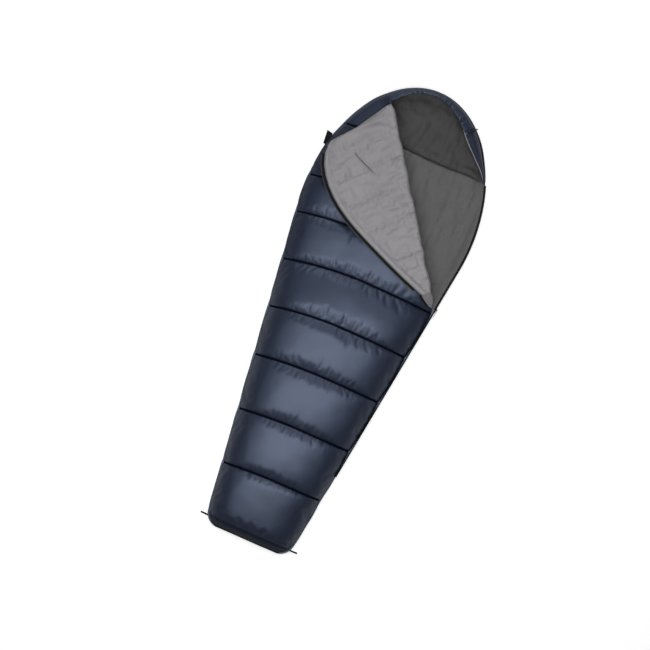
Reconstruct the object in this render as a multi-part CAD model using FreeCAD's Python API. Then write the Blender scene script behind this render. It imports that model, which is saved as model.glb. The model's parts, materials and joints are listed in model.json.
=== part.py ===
"""A mummy sleeping bag, laid flat with its zip part open and the top folded back over itself.

Frame, in millimetres: +Z up, +Y towards the head, +X towards the zip side. The origin is on the
surface that the bag lies on, at the middle of its length and width. Each soft layer (shell, filling,
lining) is a solid of its own, so the bag comes apart as it is sewn.
"""

import FreeCAD
import Part
import math
import os

Vec = FreeCAD.Vector

# ---------------------------------------------------------------- driving dimensions, plan view
FOOT_CAP = 51.0  # length of the rounded foot end, beyond the first seam
CHAMBERS = (248.0, 253.0, 255.0, 234.0, 230.0, 211.0, 168.0, 250.0)  # from foot to neck seam
HOOD_LENGTH = 300.0  # from the neck seam to the crown of the hood
HEAD_HALF_WIDTH = 401.0  # half the width at the shoulders
HEAD_REACH = 595.0  # from the widest place to the crown of the hood
FOOT_HALF_WIDTH = 202.0
FOOT_CORNER = 70.0  # radius of the foot's two corners, seen from above

# ---------------------------------------------------------------- heights and thicknesses
BASE_LOFT = 40.0  # thickness of the quilted underside, and height of the side seam
BASE_EDGE = 33.0  # radius that rounds the underside's lower edge
CROWN = 168.0  # height of a full chamber over the legs
CROWN_OPEN = 118.0  # height of the top where it is folded open
FOOT_CROWN = 150.0
SECTION_POWER = 2.5  # how square the arched section is; 2 is an ellipse
SEAM_DIP = 17.0  # how much lower a chamber is at its seams
SEAM_PINCH = 5.0  # how much narrower the bag is at a seam
QUILT = 34.0  # thickness of a chamber at its middle
QUILT_SEAM = 12.0  # and at its seams
HOOD_WALL = 24.0
SHELL = 1.2  # outer fabric
LINING = 1.0  # inner fabric
LAYER_GAP = 0.3  # air between two layers that aren't glued

# ---------------------------------------------------------------- the fold and the flap
OPEN_CHAMBER = 5  # the top is unzipped above this many chambers
V_RISE = 15.0  # from that chamber's seam up to the closed end of the opening
V_INSET = 14.0  # how far in the cut edge starts from the side, at the end of the opening
FOLD_RISE = 84.0  # from the same seam up to the lower end of the fold
FOLD_INSET = 68.0  # from the side of the bag in to the lower end of the fold
FOLD_TOP_DROP = 138.0  # from the crown of the hood down to the upper end of the fold
FOLD_TOP_INSET = 69.0  # from the other side in to the upper end of the fold
FOLD_HEIGHT = 132.0  # height of the line that the flap turns on
FOLD_GAP = 3.0  # from that line to the edge of the cloth on either side
FOLD_WEB = (90.0, 2.5)  # lower edge and thickness of the cloth that rises to the fold
FLAP_SLOPE = 2.5  # degrees that the open flap slopes down from the fold
FLAP_LIFT = 0.5  # air under the open flap, at the fold
FLAP_FILL = 15.0
FLAP_EDGE = (  # the flap's zip edge: share of the fold's length, distance from the fold
    (-0.03, 36.0),
    (0.12, 128.0),
    (0.27, 212.0),
    (0.44, 298.0),
    (0.64, 354.0),
    (0.765, 350.0),
    (0.85, 313.0),
    (0.88, 271.0),
)
FLAP_FACE_END = (0.985, 14.0)  # the upper end of the straight edge that frames the face
FACING_WIDTH = 28.0  # padded facing that backs the zip on the flap
FACING_THICK = 4.0
POCKET_AT = (0.652, 143.0)  # lower corner of the pocket's mouth, share of the fold and distance
POCKET_TURN = 32.0  # degrees from the fold to the pocket's mouth
POCKET_LENGTH = 118.0
POCKET_DEPTH = 120.0
POCKET_THICK = 1.2

# ---------------------------------------------------------------- hood rim and draw cord
RIM_STATIONS = (  # direction round the neck's centre in degrees, distance in from the bag's outline, height
    (0.0, 9.2, 66.0),
    (14.0, 25.0, 82.0),
    (28.0, 33.6, 88.0),
    (44.0, 39.6, 89.0),
    (63.0, 35.6, 90.0),
    (90.0, 24.0, 93.0),
    (117.0, 27.6, 100.0),
)
RIM_END_HEIGHT = 102.0  # where the rim meets the fold
HEM_RADIUS = 5.5  # tunnel along the rim
HEM_PLAY = 1.8  # between the tunnel and the rim's cut edge
CORD_RADIUS = 1.8
CORD_PLAY = 0.2
CORD_ENDS = (4.0, 136.0)  # directions between which the tunnel runs
LOCK_DIRECTION = 44.0  # where the cord lock sits, in degrees round the neck's centre
LOCK_OUT = 15.0  # from the rim outwards to the lock's axis
LOCK_RADIUS = 9.5
LOCK_HEIGHT = 12.5
LOCK_LIFT = 0.5  # its base is flat and the cloth under it is not
LOCK_FLOOR = 2.1
CORD_LEVEL = 8.0  # of the cord through the lock, above the cloth
BUTTON_RADIUS = 5.5
BUTTON_PROUD = 3.0
BUTTON_TRAVEL = 2.0
BUTTON_PLAY = 0.1
TAIL_REACH = 30.0  # from the lock's axis to the knot in the cord
KNOT_RADIUS = 3.4

# ---------------------------------------------------------------- zip
TAPE_STAND = 3.6  # from the bag's side out to the middle of the tape
TAPE_WIDTH = 11.0
TAPE_THICK = 0.8
TAPE_SEAM = 1.2  # thickness of the turned edge that joins the tape to the bag
COIL_WIDTH = 2.4  # of one row
COIL_THICK = 2.4
COIL_SLOT = 1.6  # between the two closed rows, for the slider's neck
ZIP_FOOT_RISE = 121.0  # from the first full seam above the foot up to the zip's lower end
SLIDER_LENGTH = 22.0
SLIDER_WIDTH = 14.0
PLATE = 1.4
SLIDER_PLAY = 0.35
NECK_THICK = 1.0
NECK_LENGTH = 6.0
PIN_RADIUS = 1.1
PIN_PLAY = 0.08
PIN_STAND = 2.6  # from the slider's face to the pin's axis
PIN_PLACE = 4.0  # from the slider's middle towards the head
EYE_RADIUS = 2.2
EAR_THICK = 1.5
EAR_PLAY = 0.2
PULL_LENGTH = 38.0
PULL_WIDTH = 7.6
PULL_THICK = 1.6
STOP_LENGTH = 4.0
DRAFT_RADIUS = 12.0  # padded tube inside the bag, behind the closed zip
DRAFT_INSET = 38.0
DRAFT_SHORT = 30.0

# ---------------------------------------------------------------- small parts
LOOP_REACH = 38.0
LOOP_WIDTH = 10.0
WEBBING = 1.5
LOOP_SLOT = 2.4
LOOP_RISE = 36.0  # from the foot end up to the hanging loops
LABEL_LENGTH = 40.0
LABEL_REACH = 17.0
LABEL_THICK = 1.2
LABEL_DROP = 95.0  # from the neck seam down to the label

# ---------------------------------------------------------------- stations that follow from them
LENGTH = FOOT_CAP + sum(CHAMBERS) + HOOD_LENGTH
Y_FOOT = -LENGTH / 2
Y_CROWN = LENGTH / 2
Y_NECK = Y_CROWN - HOOD_LENGTH
Y_WIDE = Y_CROWN - HEAD_REACH
SEAMS = [Y_FOOT + FOOT_CAP]
for chamber_length in CHAMBERS:
    SEAMS.append(SEAMS[-1] + chamber_length)
Y_OPEN = SEAMS[OPEN_CHAMBER]
Y_V = Y_OPEN + V_RISE
Y_ZIP = SEAMS[1] + ZIP_FOOT_RISE
ARC_STEPS = 14
EDGE_STEPS = 18
TAPE_STEPS = (1, -2)  # steps of the flap's edge that carry the zip
RING_STEPS = 12
SIDE_STEPS = 4
HOOD_ARC_STEPS = 9


# ================================================================ outline of the bag
def tangent_angle():
    """Angle on the head's ellipse where the straight side leaves it for the foot's corner."""
    u = FOOT_HALF_WIDTH / HEAD_HALF_WIDTH
    v = (Y_FOOT - Y_WIDE) / HEAD_REACH
    return math.atan2(v, u) + math.acos(1 / math.hypot(u, v))


SIDE_ANGLE = tangent_angle()
Y_SIDE = Y_WIDE + HEAD_REACH * math.sin(SIDE_ANGLE)
W_SIDE = HEAD_HALF_WIDTH * math.cos(SIDE_ANGLE)
SIDE_SLOPE = (W_SIDE - FOOT_HALF_WIDTH) / (Y_SIDE - Y_FOOT)


def half_width(y):
    """Half the bag's width at a station, seen from above."""
    if y >= Y_SIDE:
        return HEAD_HALF_WIDTH * math.sqrt(max(0.0, 1 - ((y - Y_WIDE) / HEAD_REACH) ** 2))
    width = FOOT_HALF_WIDTH + SIDE_SLOPE * (y - Y_FOOT)
    short = Y_FOOT + FOOT_CORNER - y
    if short > 0:
        width -= FOOT_CORNER - math.sqrt(max(0.0, FOOT_CORNER**2 - short**2))
    return width


def outline_wire(inset, z):
    """The bag's outline, drawn in by inset, as a closed wire at height z."""
    a = HEAD_HALF_WIDTH - inset
    b = HEAD_REACH - inset
    y_end = Y_FOOT + inset
    corner = FOOT_CORNER - inset
    side = (a * math.cos(SIDE_ANGLE), Y_WIDE + b * math.sin(SIDE_ANGLE))
    foot = side[0] - SIDE_SLOPE * (side[1] - y_end)
    crown = Vec(0, Y_WIDE + b, z)
    edges = []
    for hand in (1, -1):
        ellipse = Part.Ellipse(crown, Vec(a, Y_WIDE, z), Vec(0, Y_WIDE, z))
        lean = math.pi / 2 - SIDE_ANGLE
        if hand > 0:
            arc = Part.Arc(ellipse, -lean, 0).toShape()
        else:
            arc = Part.Arc(ellipse, 0, lean).toShape()
        edges.append(arc)
        p_side = Vec(hand * side[0], side[1], z)
        along = Vec(hand * foot, y_end, z) - p_side
        run = along.Length
        along.normalize()
        turn = math.acos(max(-1.0, min(1.0, along.dot(Vec(-hand, 0, 0)))))
        cut = corner * math.tan(turn / 2)
        p_in = p_side + along * (run - cut)
        p_out = Vec(hand * (foot - cut), y_end, z)
        bisector = (Vec(-hand, 0, 0) - along).normalize()
        centre = Vec(hand * foot, y_end, z) + bisector * (corner / math.cos(turn / 2))
        p_mid = centre - bisector * corner
        edges.append(Part.LineSegment(p_side, p_in).toShape())
        edges.append(Part.Arc(p_in, p_mid, p_out).toShape())
        edges.append(Part.LineSegment(p_out, Vec(0, y_end, z)).toShape())
    return Part.Wire(Part.__sortEdges__(edges))


def outline_face(inset, z):
    return Part.Face(outline_wire(inset, z))


# ================================================================ the arched section
def share_of_height(ratio):
    """Height of the section, from 0 to 1, at a share of its half width."""
    return max(0.0, 1 - min(1.0, abs(ratio)) ** SECTION_POWER) ** (1 / SECTION_POWER)


def angle_at(ratio):
    """Parameter of the section's curve at a signed share of its half width."""
    base = math.acos(min(1.0, abs(ratio)) ** (SECTION_POWER / 2))
    return base if ratio >= 0 else math.pi - base


def arch_point(half, rise, angle):
    """Distance from the middle and height above the side seam, at an angle of the section."""
    c = math.cos(angle)
    s = math.sin(angle)
    out = half * math.copysign(abs(c) ** (2 / SECTION_POWER), c)
    return out, rise * abs(s) ** (2 / SECTION_POWER)


def closed_polygon(points):
    return Part.makePolygon(list(points) + [points[0]])


def box_between(low, high):
    size = high - low
    return Part.makeBox(size.x, size.y, size.z, low)


def arch_wire(place, outer, inner, first, last, steps=ARC_STEPS):
    """A closed section of one layer: outer arch, cut edge, inner arch, cut edge.

    place(out, z) puts a distance and a height into space. outer and inner are (half width, rise).
    first and last are the two ends of the arch, as distances from the middle, positive on the zip
    side; an end beyond the half width means the side seam.
    """
    curves = []
    for half, rise in (outer, inner):
        start = angle_at(first / half)
        end = angle_at(last / half)
        angles = [start + (end - start) * i / steps for i in range(steps + 1)]
        spots = [arch_point(half, rise, a) for a in angles]
        curves.append([place(out, BASE_LOFT + z) for out, z in spots])
    over, under = curves
    return closed_polygon(over + under[::-1])


# ================================================================ the fold
FOLD_LOW = Vec(
    half_width(Y_OPEN + FOLD_RISE) - FOLD_INSET, Y_OPEN + FOLD_RISE, FOLD_HEIGHT
)
FOLD_TOP = Vec(
    FOLD_TOP_INSET - half_width(Y_CROWN - FOLD_TOP_DROP), Y_CROWN - FOLD_TOP_DROP, FOLD_HEIGHT
)
FOLD_ALONG = (FOLD_TOP - FOLD_LOW).normalize()
FOLD_LEFT = Vec(-FOLD_ALONG.y, FOLD_ALONG.x, 0)  # across the fold, towards the open flap


def opening_prism():
    """The room over the opened part: everything on the zip side of the fold."""
    gap = FOLD_LEFT * FOLD_GAP
    far = 2 * HEAD_HALF_WIDTH
    corner = half_width(Y_V) - V_INSET
    outline = [
        Vec(far, Y_V, 0),
        Vec(corner, Y_V, 0),
        FOLD_LOW + gap,
        FOLD_TOP + gap + FOLD_ALONG * HOOD_LENGTH,
        Vec(far, Y_CROWN + far, 0),
        Vec(far, Y_V, 0),
    ]
    for point in outline:
        point.z = -BASE_LOFT
    face = Part.Face(Part.makePolygon(outline))
    return face.extrude(Vec(0, 0, 10 * BASE_LOFT))


# ================================================================ the quilted top
def chamber_of(y):
    """(chamber number, share of its length) at a station."""
    for n in range(len(CHAMBERS)):
        if y <= SEAMS[n + 1] + 1e-6:
            return n, (y - SEAMS[n]) / CHAMBERS[n]
    return len(CHAMBERS) - 1, 1.0


def puff(y):
    """How full the quilting is at a station: 0 at a seam, 1 in the middle of a chamber."""
    _, share = chamber_of(y)
    return math.sin(math.pi * max(0.0, min(1.0, share)))


def crown(y):
    """Height of the top along the middle of the bag, without the seams' dips."""
    if y <= SEAMS[1]:
        share = (y - SEAMS[0]) / CHAMBERS[0]
        return FOOT_CROWN + (CROWN - FOOT_CROWN) * max(0.0, share)
    fall_from = SEAMS[OPEN_CHAMBER - 1]
    fall_to = FOLD_LOW.y
    share = max(0.0, min(1.0, (y - fall_from) / (fall_to - fall_from)))
    return CROWN - (CROWN - CROWN_OPEN) * share * share * (3 - 2 * share)


def side_depth(depth):
    """Depth at the side seam, where the quilting is pressed to half its thickness."""
    if depth <= SHELL + LAYER_GAP:
        return depth
    return SHELL + LAYER_GAP + 0.5 * (depth - SHELL - LAYER_GAP)


def layer_depths(layer, wall):
    """How deep one layer lies under the outer surface, in a wall of this thickness."""
    return {
        "shell": (0.0, SHELL),
        "filling": (SHELL + LAYER_GAP, wall - LINING - LAYER_GAP),
        "lining": (wall - LINING, wall),
    }[layer]


def top_section(y, layer):
    """A section of one layer of the top."""
    full = puff(y)
    near, far = layer_depths(layer, QUILT_SEAM + (QUILT - QUILT_SEAM) * full)
    dip = SEAM_DIP * (1 - full) * (CROWN_OPEN / CROWN if y > Y_OPEN else 1.0)
    half = half_width(y) - SEAM_PINCH * (1 - full)
    rise = crown(y) - dip - BASE_LOFT
    return arch_wire(
        lambda out, z: Vec(out, y, z),
        (half - side_depth(near), rise - near),
        (half - side_depth(far), rise - far),
        -half - 1,
        half + 1,
    )


def chamber_solid(n, layer):
    """One layer of one chamber, lofted from seam to seam."""
    shares = (0, 0.2, 0.5, 0.8, 1)
    wires = [top_section(SEAMS[n] + CHAMBERS[n] * share, layer) for share in shares]
    return Part.makeLoft(wires, True, True)


def joined(solids):
    """One solid from lofts that meet end to end: their faces sewn, without the shared ends."""
    faces = [(face, face.CenterOfMass) for solid in solids for face in solid.Faces]
    kept = []
    for n, (face, centre) in enumerate(faces):
        others = faces[:n] + faces[n + 1 :]
        if all((centre - other).Length > 1e-3 for _, other in others):
            kept.append(face)
    shell = Part.makeCompound(kept)
    shell.sewShape()
    return Part.Solid(shell.Shells[0])


def make_top():
    opening = opening_prism()
    whole = range(len(CHAMBERS))
    parts = {}
    for layer in ("shell", "lining"):
        parts[f"top_{layer}"] = joined([chamber_solid(n, layer) for n in whole]).cut(opening)
    for n in whole:
        filling = chamber_solid(n, "filling")
        parts[f"top_filling_{n + 1}"] = filling.cut(opening) if n >= OPEN_CHAMBER else filling
    return parts


# ================================================================ the underside
def tray(inset, z_low, z_high, edge):
    """A slab in the bag's outline, with its lower edge turned up in three flats."""
    wires = []
    for angle in (0, 30, 60, 90):
        turn = math.radians(angle)
        drawn_in = inset + edge * (1 - math.sin(turn))
        wires.append(outline_wire(drawn_in, z_low + edge * (1 - math.cos(turn))))
    wires.append(outline_wire(inset, z_high))
    return Part.makeLoft(wires, True, True)


def cut_at_neck(solid, above):
    """The part of a solid on one side of the neck seam."""
    size = 2 * LENGTH
    y = Y_NECK if above else Y_NECK - size
    return solid.common(Part.makeBox(size, size, size, Vec(-size / 2, y, -size / 2)))


def make_base():
    shell_top = BASE_LOFT
    outer = tray(0, 0, shell_top, BASE_EDGE)
    inner = tray(SHELL, SHELL, shell_top, BASE_EDGE - SHELL)
    inset = SHELL + LAYER_GAP
    fill_top = BASE_LOFT - LINING - 2 * LAYER_GAP
    sheet_face = outline_face(inset, BASE_LOFT - LINING - LAYER_GAP)
    sheet = sheet_face.extrude(Vec(0, 0, LINING))
    return {
        "base_shell": outer.cut(inner),
        "base_filling": tray(inset, inset, fill_top, BASE_EDGE - inset),
        "base_lining": cut_at_neck(sheet, False),
        "hood_floor_lining": cut_at_neck(sheet, True),
    }


# ================================================================ the foot end
FOOT_SHAPE = (  # share of the foot end's depth, share of its height there, wall
    (0.0, 1.0, QUILT_SEAM),
    (0.35, 0.9, 15.0),
    (0.7, 0.62, 17.0),
    (1.0, 0.27, 18.0),
)
FOOT_PANEL = 5.0  # thickness of the padded strip that closes the foot end


def foot_spot(share, height):
    """(station, half width, rise) of the foot end's outer surface."""
    y = SEAMS[0] - (FOOT_CAP - FOOT_PANEL - 2.0) * share
    rise = (FOOT_CROWN - SEAM_DIP - BASE_LOFT) * height
    return y, half_width(y) - SEAM_PINCH, rise


def foot_section(share, height, wall, layer):
    y, half, rise = foot_spot(share, height)
    near, far = layer_depths(layer, wall)
    return arch_wire(
        lambda out, z: Vec(out, y, z),
        (half - side_depth(near), rise - near),
        (half - side_depth(far), rise - far),
        -half - 1,
        half + 1,
    )


def arched_face(y, half, rise):
    """A flat face across the bag, under one arch."""
    spots = [arch_point(half, rise, math.pi * i / ARC_STEPS) for i in range(ARC_STEPS + 1)]
    return Part.Face(closed_polygon([Vec(out, y, BASE_LOFT + z) for out, z in spots]))


def make_foot():
    parts = {}
    for layer in ("shell", "filling", "lining"):
        wires = [foot_section(share, height, wall, layer) for share, height, wall in FOOT_SHAPE]
        parts[f"foot_{layer}"] = Part.makeLoft(wires, True, True)
    y, half, rise = foot_spot(*FOOT_SHAPE[-1][:2])
    parts["foot_panel"] = arched_face(y, half, rise).extrude(Vec(0, -FOOT_PANEL, 0))
    return parts


# ================================================================ the hood
def hood_reach(direction):
    """Distance from the neck's centre to the bag's outline, along a direction in degrees."""
    c = math.cos(math.radians(direction)) / HEAD_HALF_WIDTH
    s = math.sin(math.radians(direction)) / HEAD_REACH
    start = (Y_NECK - Y_WIDE) / HEAD_REACH
    a = c * c + s * s
    b = s * start
    return (-b + math.sqrt(b * b - a * (start * start - 1))) / a


def fold_reach(direction):
    """Distance from the neck's centre to the fold's cut edge, along a direction in degrees."""
    ray = Vec(math.cos(math.radians(direction)), math.sin(math.radians(direction)), 0)
    start = FOLD_LOW + FOLD_LEFT * FOLD_GAP - Vec(0, Y_NECK, 0)
    return start.dot(FOLD_LEFT) / ray.dot(FOLD_LEFT)


def hood_rise(direction, reach, height):
    """Rise of the hood's arch at its middle, for a rim of this height at this reach."""
    outer = hood_reach(direction) - SEAM_PINCH
    return (height - BASE_LOFT) / share_of_height(reach / outer)


def hood_edge(direction, reach):
    """How far out the hood's wall may be cut: at the rim, but never past its lining."""
    return min(reach, hood_reach(direction) - SEAM_PINCH - side_depth(HOOD_WALL) - 2)


def hood_section(station, layer):
    """A section of one layer of the hood's wall, in the upright plane of a direction."""
    direction, reach, rise = station
    outer = hood_reach(direction) - SEAM_PINCH
    near, far = layer_depths(layer, HOOD_WALL)
    c = math.cos(math.radians(direction))
    s = math.sin(math.radians(direction))
    return arch_wire(
        lambda out, z: Vec(c * out, Y_NECK + s * out, z),
        (outer - side_depth(near), rise - near),
        (outer - side_depth(far), rise - far),
        outer + 1,
        hood_edge(direction, reach),
        HOOD_ARC_STEPS,
    )


HOOD_CORNER = math.degrees(math.atan2(FOLD_TOP.y - Y_NECK, FOLD_TOP.x))


def rim_curve():
    """The rim as a curve over the direction: its value is (distance in from the outline, height)."""
    last_inset = hood_reach(HOOD_CORNER) - fold_reach(HOOD_CORNER)
    stations = RIM_STATIONS + ((HOOD_CORNER, last_inset, RIM_END_HEIGHT),)
    curve = Part.BSplineCurve()
    curve.interpolate(
        [Vec(inset, height, 0) for _, inset, height in stations],
        Parameters=[direction for direction, _, _ in stations],
    )
    return curve


RIM = rim_curve()


def rim_spot(direction):
    """The rim's reach from the neck's centre and its height, in a direction."""
    spot = RIM.value(direction)
    return hood_reach(direction) - spot.x, spot.y


def ring_station(direction):
    reach, height = rim_spot(direction)
    return direction, reach, hood_rise(direction, reach, height)


def ring_stations():
    """(direction, reach, rise) round the hood, from the zip side to the fold."""
    return [ring_station(HOOD_CORNER * i / RING_STEPS) for i in range(RING_STEPS + 1)]


def side_stations():
    """(direction, reach, rise) of the hood's side, under the open flap."""
    neck_dip = SEAM_DIP * CROWN_OPEN / CROWN
    neck_half = hood_reach(180.0) - SEAM_PINCH
    neck_height = BASE_LOFT + (CROWN_OPEN - neck_dip - BASE_LOFT) * share_of_height(
        fold_reach(180.0) / neck_half
    )
    stations = []
    for i in range(SIDE_STEPS + 1):
        share = i / SIDE_STEPS
        direction = HOOD_CORNER + (180.0 - HOOD_CORNER) * share
        reach = fold_reach(direction)
        height = RIM_END_HEIGHT * (1 - share) + neck_height * share
        stations.append((direction, reach, hood_rise(direction, reach, height)))
    return stations


def rim_point(direction):
    """The middle of the rim's cut edge, in a direction round the neck's centre."""
    rim_reach, height = rim_spot(direction)
    reach = hood_edge(direction, rim_reach)
    angle = math.radians(direction)
    return Vec(
        math.cos(angle) * reach, Y_NECK + math.sin(angle) * reach, height - HOOD_WALL / 2
    )


def pipe(points, radius):
    """A round bar through points, its eight-sided sections square to its run."""
    rings = []
    for n, point in enumerate(points):
        along = points[min(n + 1, len(points) - 1)] - points[max(n - 1, 0)]
        side = along.cross(Vec(0.01, 0.02, 1)).normalize()
        up = side.cross(along).normalize()
        angles = [math.pi * (2 * i + 1) / 8 for i in range(8)]
        rings.append(
            closed_polygon(
                [point + (side * math.cos(a) + up * math.sin(a)) * radius for a in angles]
            )
        )
    return Part.makeLoft(rings, True, True)


def hem_points(distance):
    """Points along the rim, a distance inwards from its cut edge."""
    first, last = CORD_ENDS
    points = []
    for station in ring_stations():
        d = min(max(station[0], first), last)
        along = (rim_point(d + 0.5) - rim_point(d - 0.5)).normalize()
        inwards = Vec(-along.y, along.x, 0).normalize()
        points.append(rim_point(d) + inwards * distance)
    return points


def lock_placement():
    """Frame of the cord lock: x outwards over the hood, z off the cloth."""
    d, reach, rise = ring_station(LOCK_DIRECTION)
    outer = hood_reach(d) - SEAM_PINCH
    c = math.cos(math.radians(d))
    s = math.sin(math.radians(d))

    def spot(out):
        return Vec(c * out, Y_NECK + s * out, BASE_LOFT + rise * share_of_height(out / outer))

    middle = spot(reach + LOCK_OUT)
    outwards = (spot(reach + LOCK_OUT + 2) - spot(reach + LOCK_OUT - 2)).normalize()
    across = Vec(-s, c, 0)
    normal = outwards.cross(across)
    return FreeCAD.Placement(middle, FreeCAD.Rotation(outwards, across, normal, "ZXY"))


def make_lock():
    place = lock_placement()
    top = LOCK_HEIGHT + BUTTON_PROUD
    up = Vec(0, 0, 1)
    body = Part.makeCylinder(LOCK_RADIUS, LOCK_HEIGHT - LOCK_LIFT, Vec(0, 0, LOCK_LIFT), up)
    body = body.makeChamfer(1.2, [e for e in body.Edges if len(e.Vertexes) == 1])
    bore = Part.makeCylinder(BUTTON_RADIUS + BUTTON_PLAY, LOCK_HEIGHT, Vec(0, 0, LOCK_FLOOR), up)
    room = CORD_RADIUS + CORD_PLAY
    hole = box_between(
        Vec(-2 * LOCK_RADIUS, -room, CORD_LEVEL - room),
        Vec(2 * LOCK_RADIUS, room, CORD_LEVEL + room),
    )
    body = body.cut(bore).cut(hole)
    low = LOCK_FLOOR + 2 * BUTTON_TRAVEL
    button = Part.makeCylinder(BUTTON_RADIUS, top - low, Vec(0, 0, low), up)
    button = button.makeChamfer(1.0, [e for e in button.Edges if e.BoundBox.ZMin > top - 0.1])
    slot = Part.makeBox(
        4 * BUTTON_RADIUS,
        2 * room,
        CORD_LEVEL + room + BUTTON_TRAVEL,
        Vec(-2 * BUTTON_RADIUS, -room, 0),
    )
    button = button.cut(slot)
    rim_side = -LOCK_OUT - HEM_RADIUS
    tail = pipe(
        [
            Vec(rim_side, 0, -HOOD_WALL / 2 + HEM_RADIUS + CORD_RADIUS + 3.0),
            Vec(rim_side + 3, 0, 2),
            Vec(rim_side + 8, 0, CORD_LEVEL - 0.5),
            Vec(-LOCK_RADIUS, 0, CORD_LEVEL),
            Vec(0, 0, CORD_LEVEL),
            Vec(LOCK_RADIUS, 0, CORD_LEVEL),
            Vec(TAIL_REACH - 8, 0, CORD_LEVEL - 1),
            Vec(TAIL_REACH, 0, KNOT_RADIUS),
        ],
        CORD_RADIUS,
    )
    knot = Part.makeCylinder(
        KNOT_RADIUS, 2 * KNOT_RADIUS, Vec(TAIL_REACH - 1, 0, KNOT_RADIUS + 0.2), Vec(1, 0, 0)
    )
    knot = knot.makeChamfer(0.4 * KNOT_RADIUS, [e for e in knot.Edges if len(e.Vertexes) == 1])
    parts = {
        "cord_lock_body": body,
        "cord_lock_button": button,
        "cord_tail": tail.fuse(knot).removeSplitter(),
    }
    for shape in parts.values():
        shape.Placement = place
    return parts


def make_hood():
    parts = {}
    for layer in ("shell", "filling", "lining"):
        lofts = [
            Part.makeLoft([hood_section(station, layer) for station in group], True, True)
            for group in (ring_stations(), side_stations())
        ]
        parts[f"hood_{layer}"] = joined(lofts)
    middle = hem_points(HEM_RADIUS + HEM_PLAY)
    parts["hood_tunnel"] = pipe(middle, HEM_RADIUS).cut(pipe(middle, CORD_RADIUS + CORD_PLAY))
    parts["hood_cord"] = pipe(middle, CORD_RADIUS)
    parts.update(make_lock())
    return parts


# ================================================================ the flap
FOLD_LENGTH = (FOLD_TOP - FOLD_LOW).Length
FLAP_LAYERS = {}
level = FLAP_LIFT
for layer_name, thickness in (("shell", SHELL), ("filling", FLAP_FILL), ("lining", LINING)):
    FLAP_LAYERS[layer_name] = (level, level + thickness)
    level += thickness + LAYER_GAP
FLAP_TOP = level - LAYER_GAP


def flap_placement():
    """The flap's own frame: x along the fold, y away from it, z off the cloth that it lies on."""
    turn = FreeCAD.Rotation(FOLD_ALONG, FOLD_LEFT, Vec(0, 0, 1), "ZXY")
    slope = FreeCAD.Rotation(Vec(1, 0, 0), -FLAP_SLOPE)
    return FreeCAD.Placement(FOLD_LOW, turn.multiply(slope))


def flap_edge(offset):
    """Points along the flap's zip edge, moved outwards by offset."""
    curve = Part.BSplineCurve()
    curve.interpolate([Vec(share * FOLD_LENGTH, out, 0) for share, out in FLAP_EDGE])
    points = []
    for i in range(EDGE_STEPS + 1):
        share = i / EDGE_STEPS
        at = curve.FirstParameter + (curve.LastParameter - curve.FirstParameter) * share
        along = curve.tangent(at)[0]
        points.append(curve.value(at) + Vec(-along.y, along.x, 0) * offset)
    return points


def flap_slab(inset, low, high):
    """The flap's outline, drawn in by inset, between two levels of its own frame."""
    edge = flap_edge(-inset)
    end = Vec(FLAP_FACE_END[0] * FOLD_LENGTH, FLAP_FACE_END[1], 0)
    face_along = (end - flap_edge(0)[-1]).normalize()
    end = end - face_along * inset + Vec(face_along.y, -face_along.x, 0) * inset
    top = Vec(end.x, FOLD_GAP + inset, 0)
    start = Vec(edge[0].x + inset, FOLD_GAP + inset, 0)
    edge[0] = Vec(edge[0].x + inset, edge[0].y, 0)
    face = Part.Face(closed_polygon(edge + [end, top, start]))
    face.translate(Vec(0, 0, low))
    return face.extrude(Vec(0, 0, high - low))


def flap_strip(near, far, low, high, first, last):
    """A band that follows the flap's zip edge, from one of its points to another."""
    inner = flap_edge(near)[first:last]
    outer = flap_edge(far)[first:last]
    face = Part.Face(closed_polygon(inner + outer[::-1]))
    face.translate(Vec(0, 0, low))
    return face.extrude(Vec(0, 0, high - low))


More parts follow.
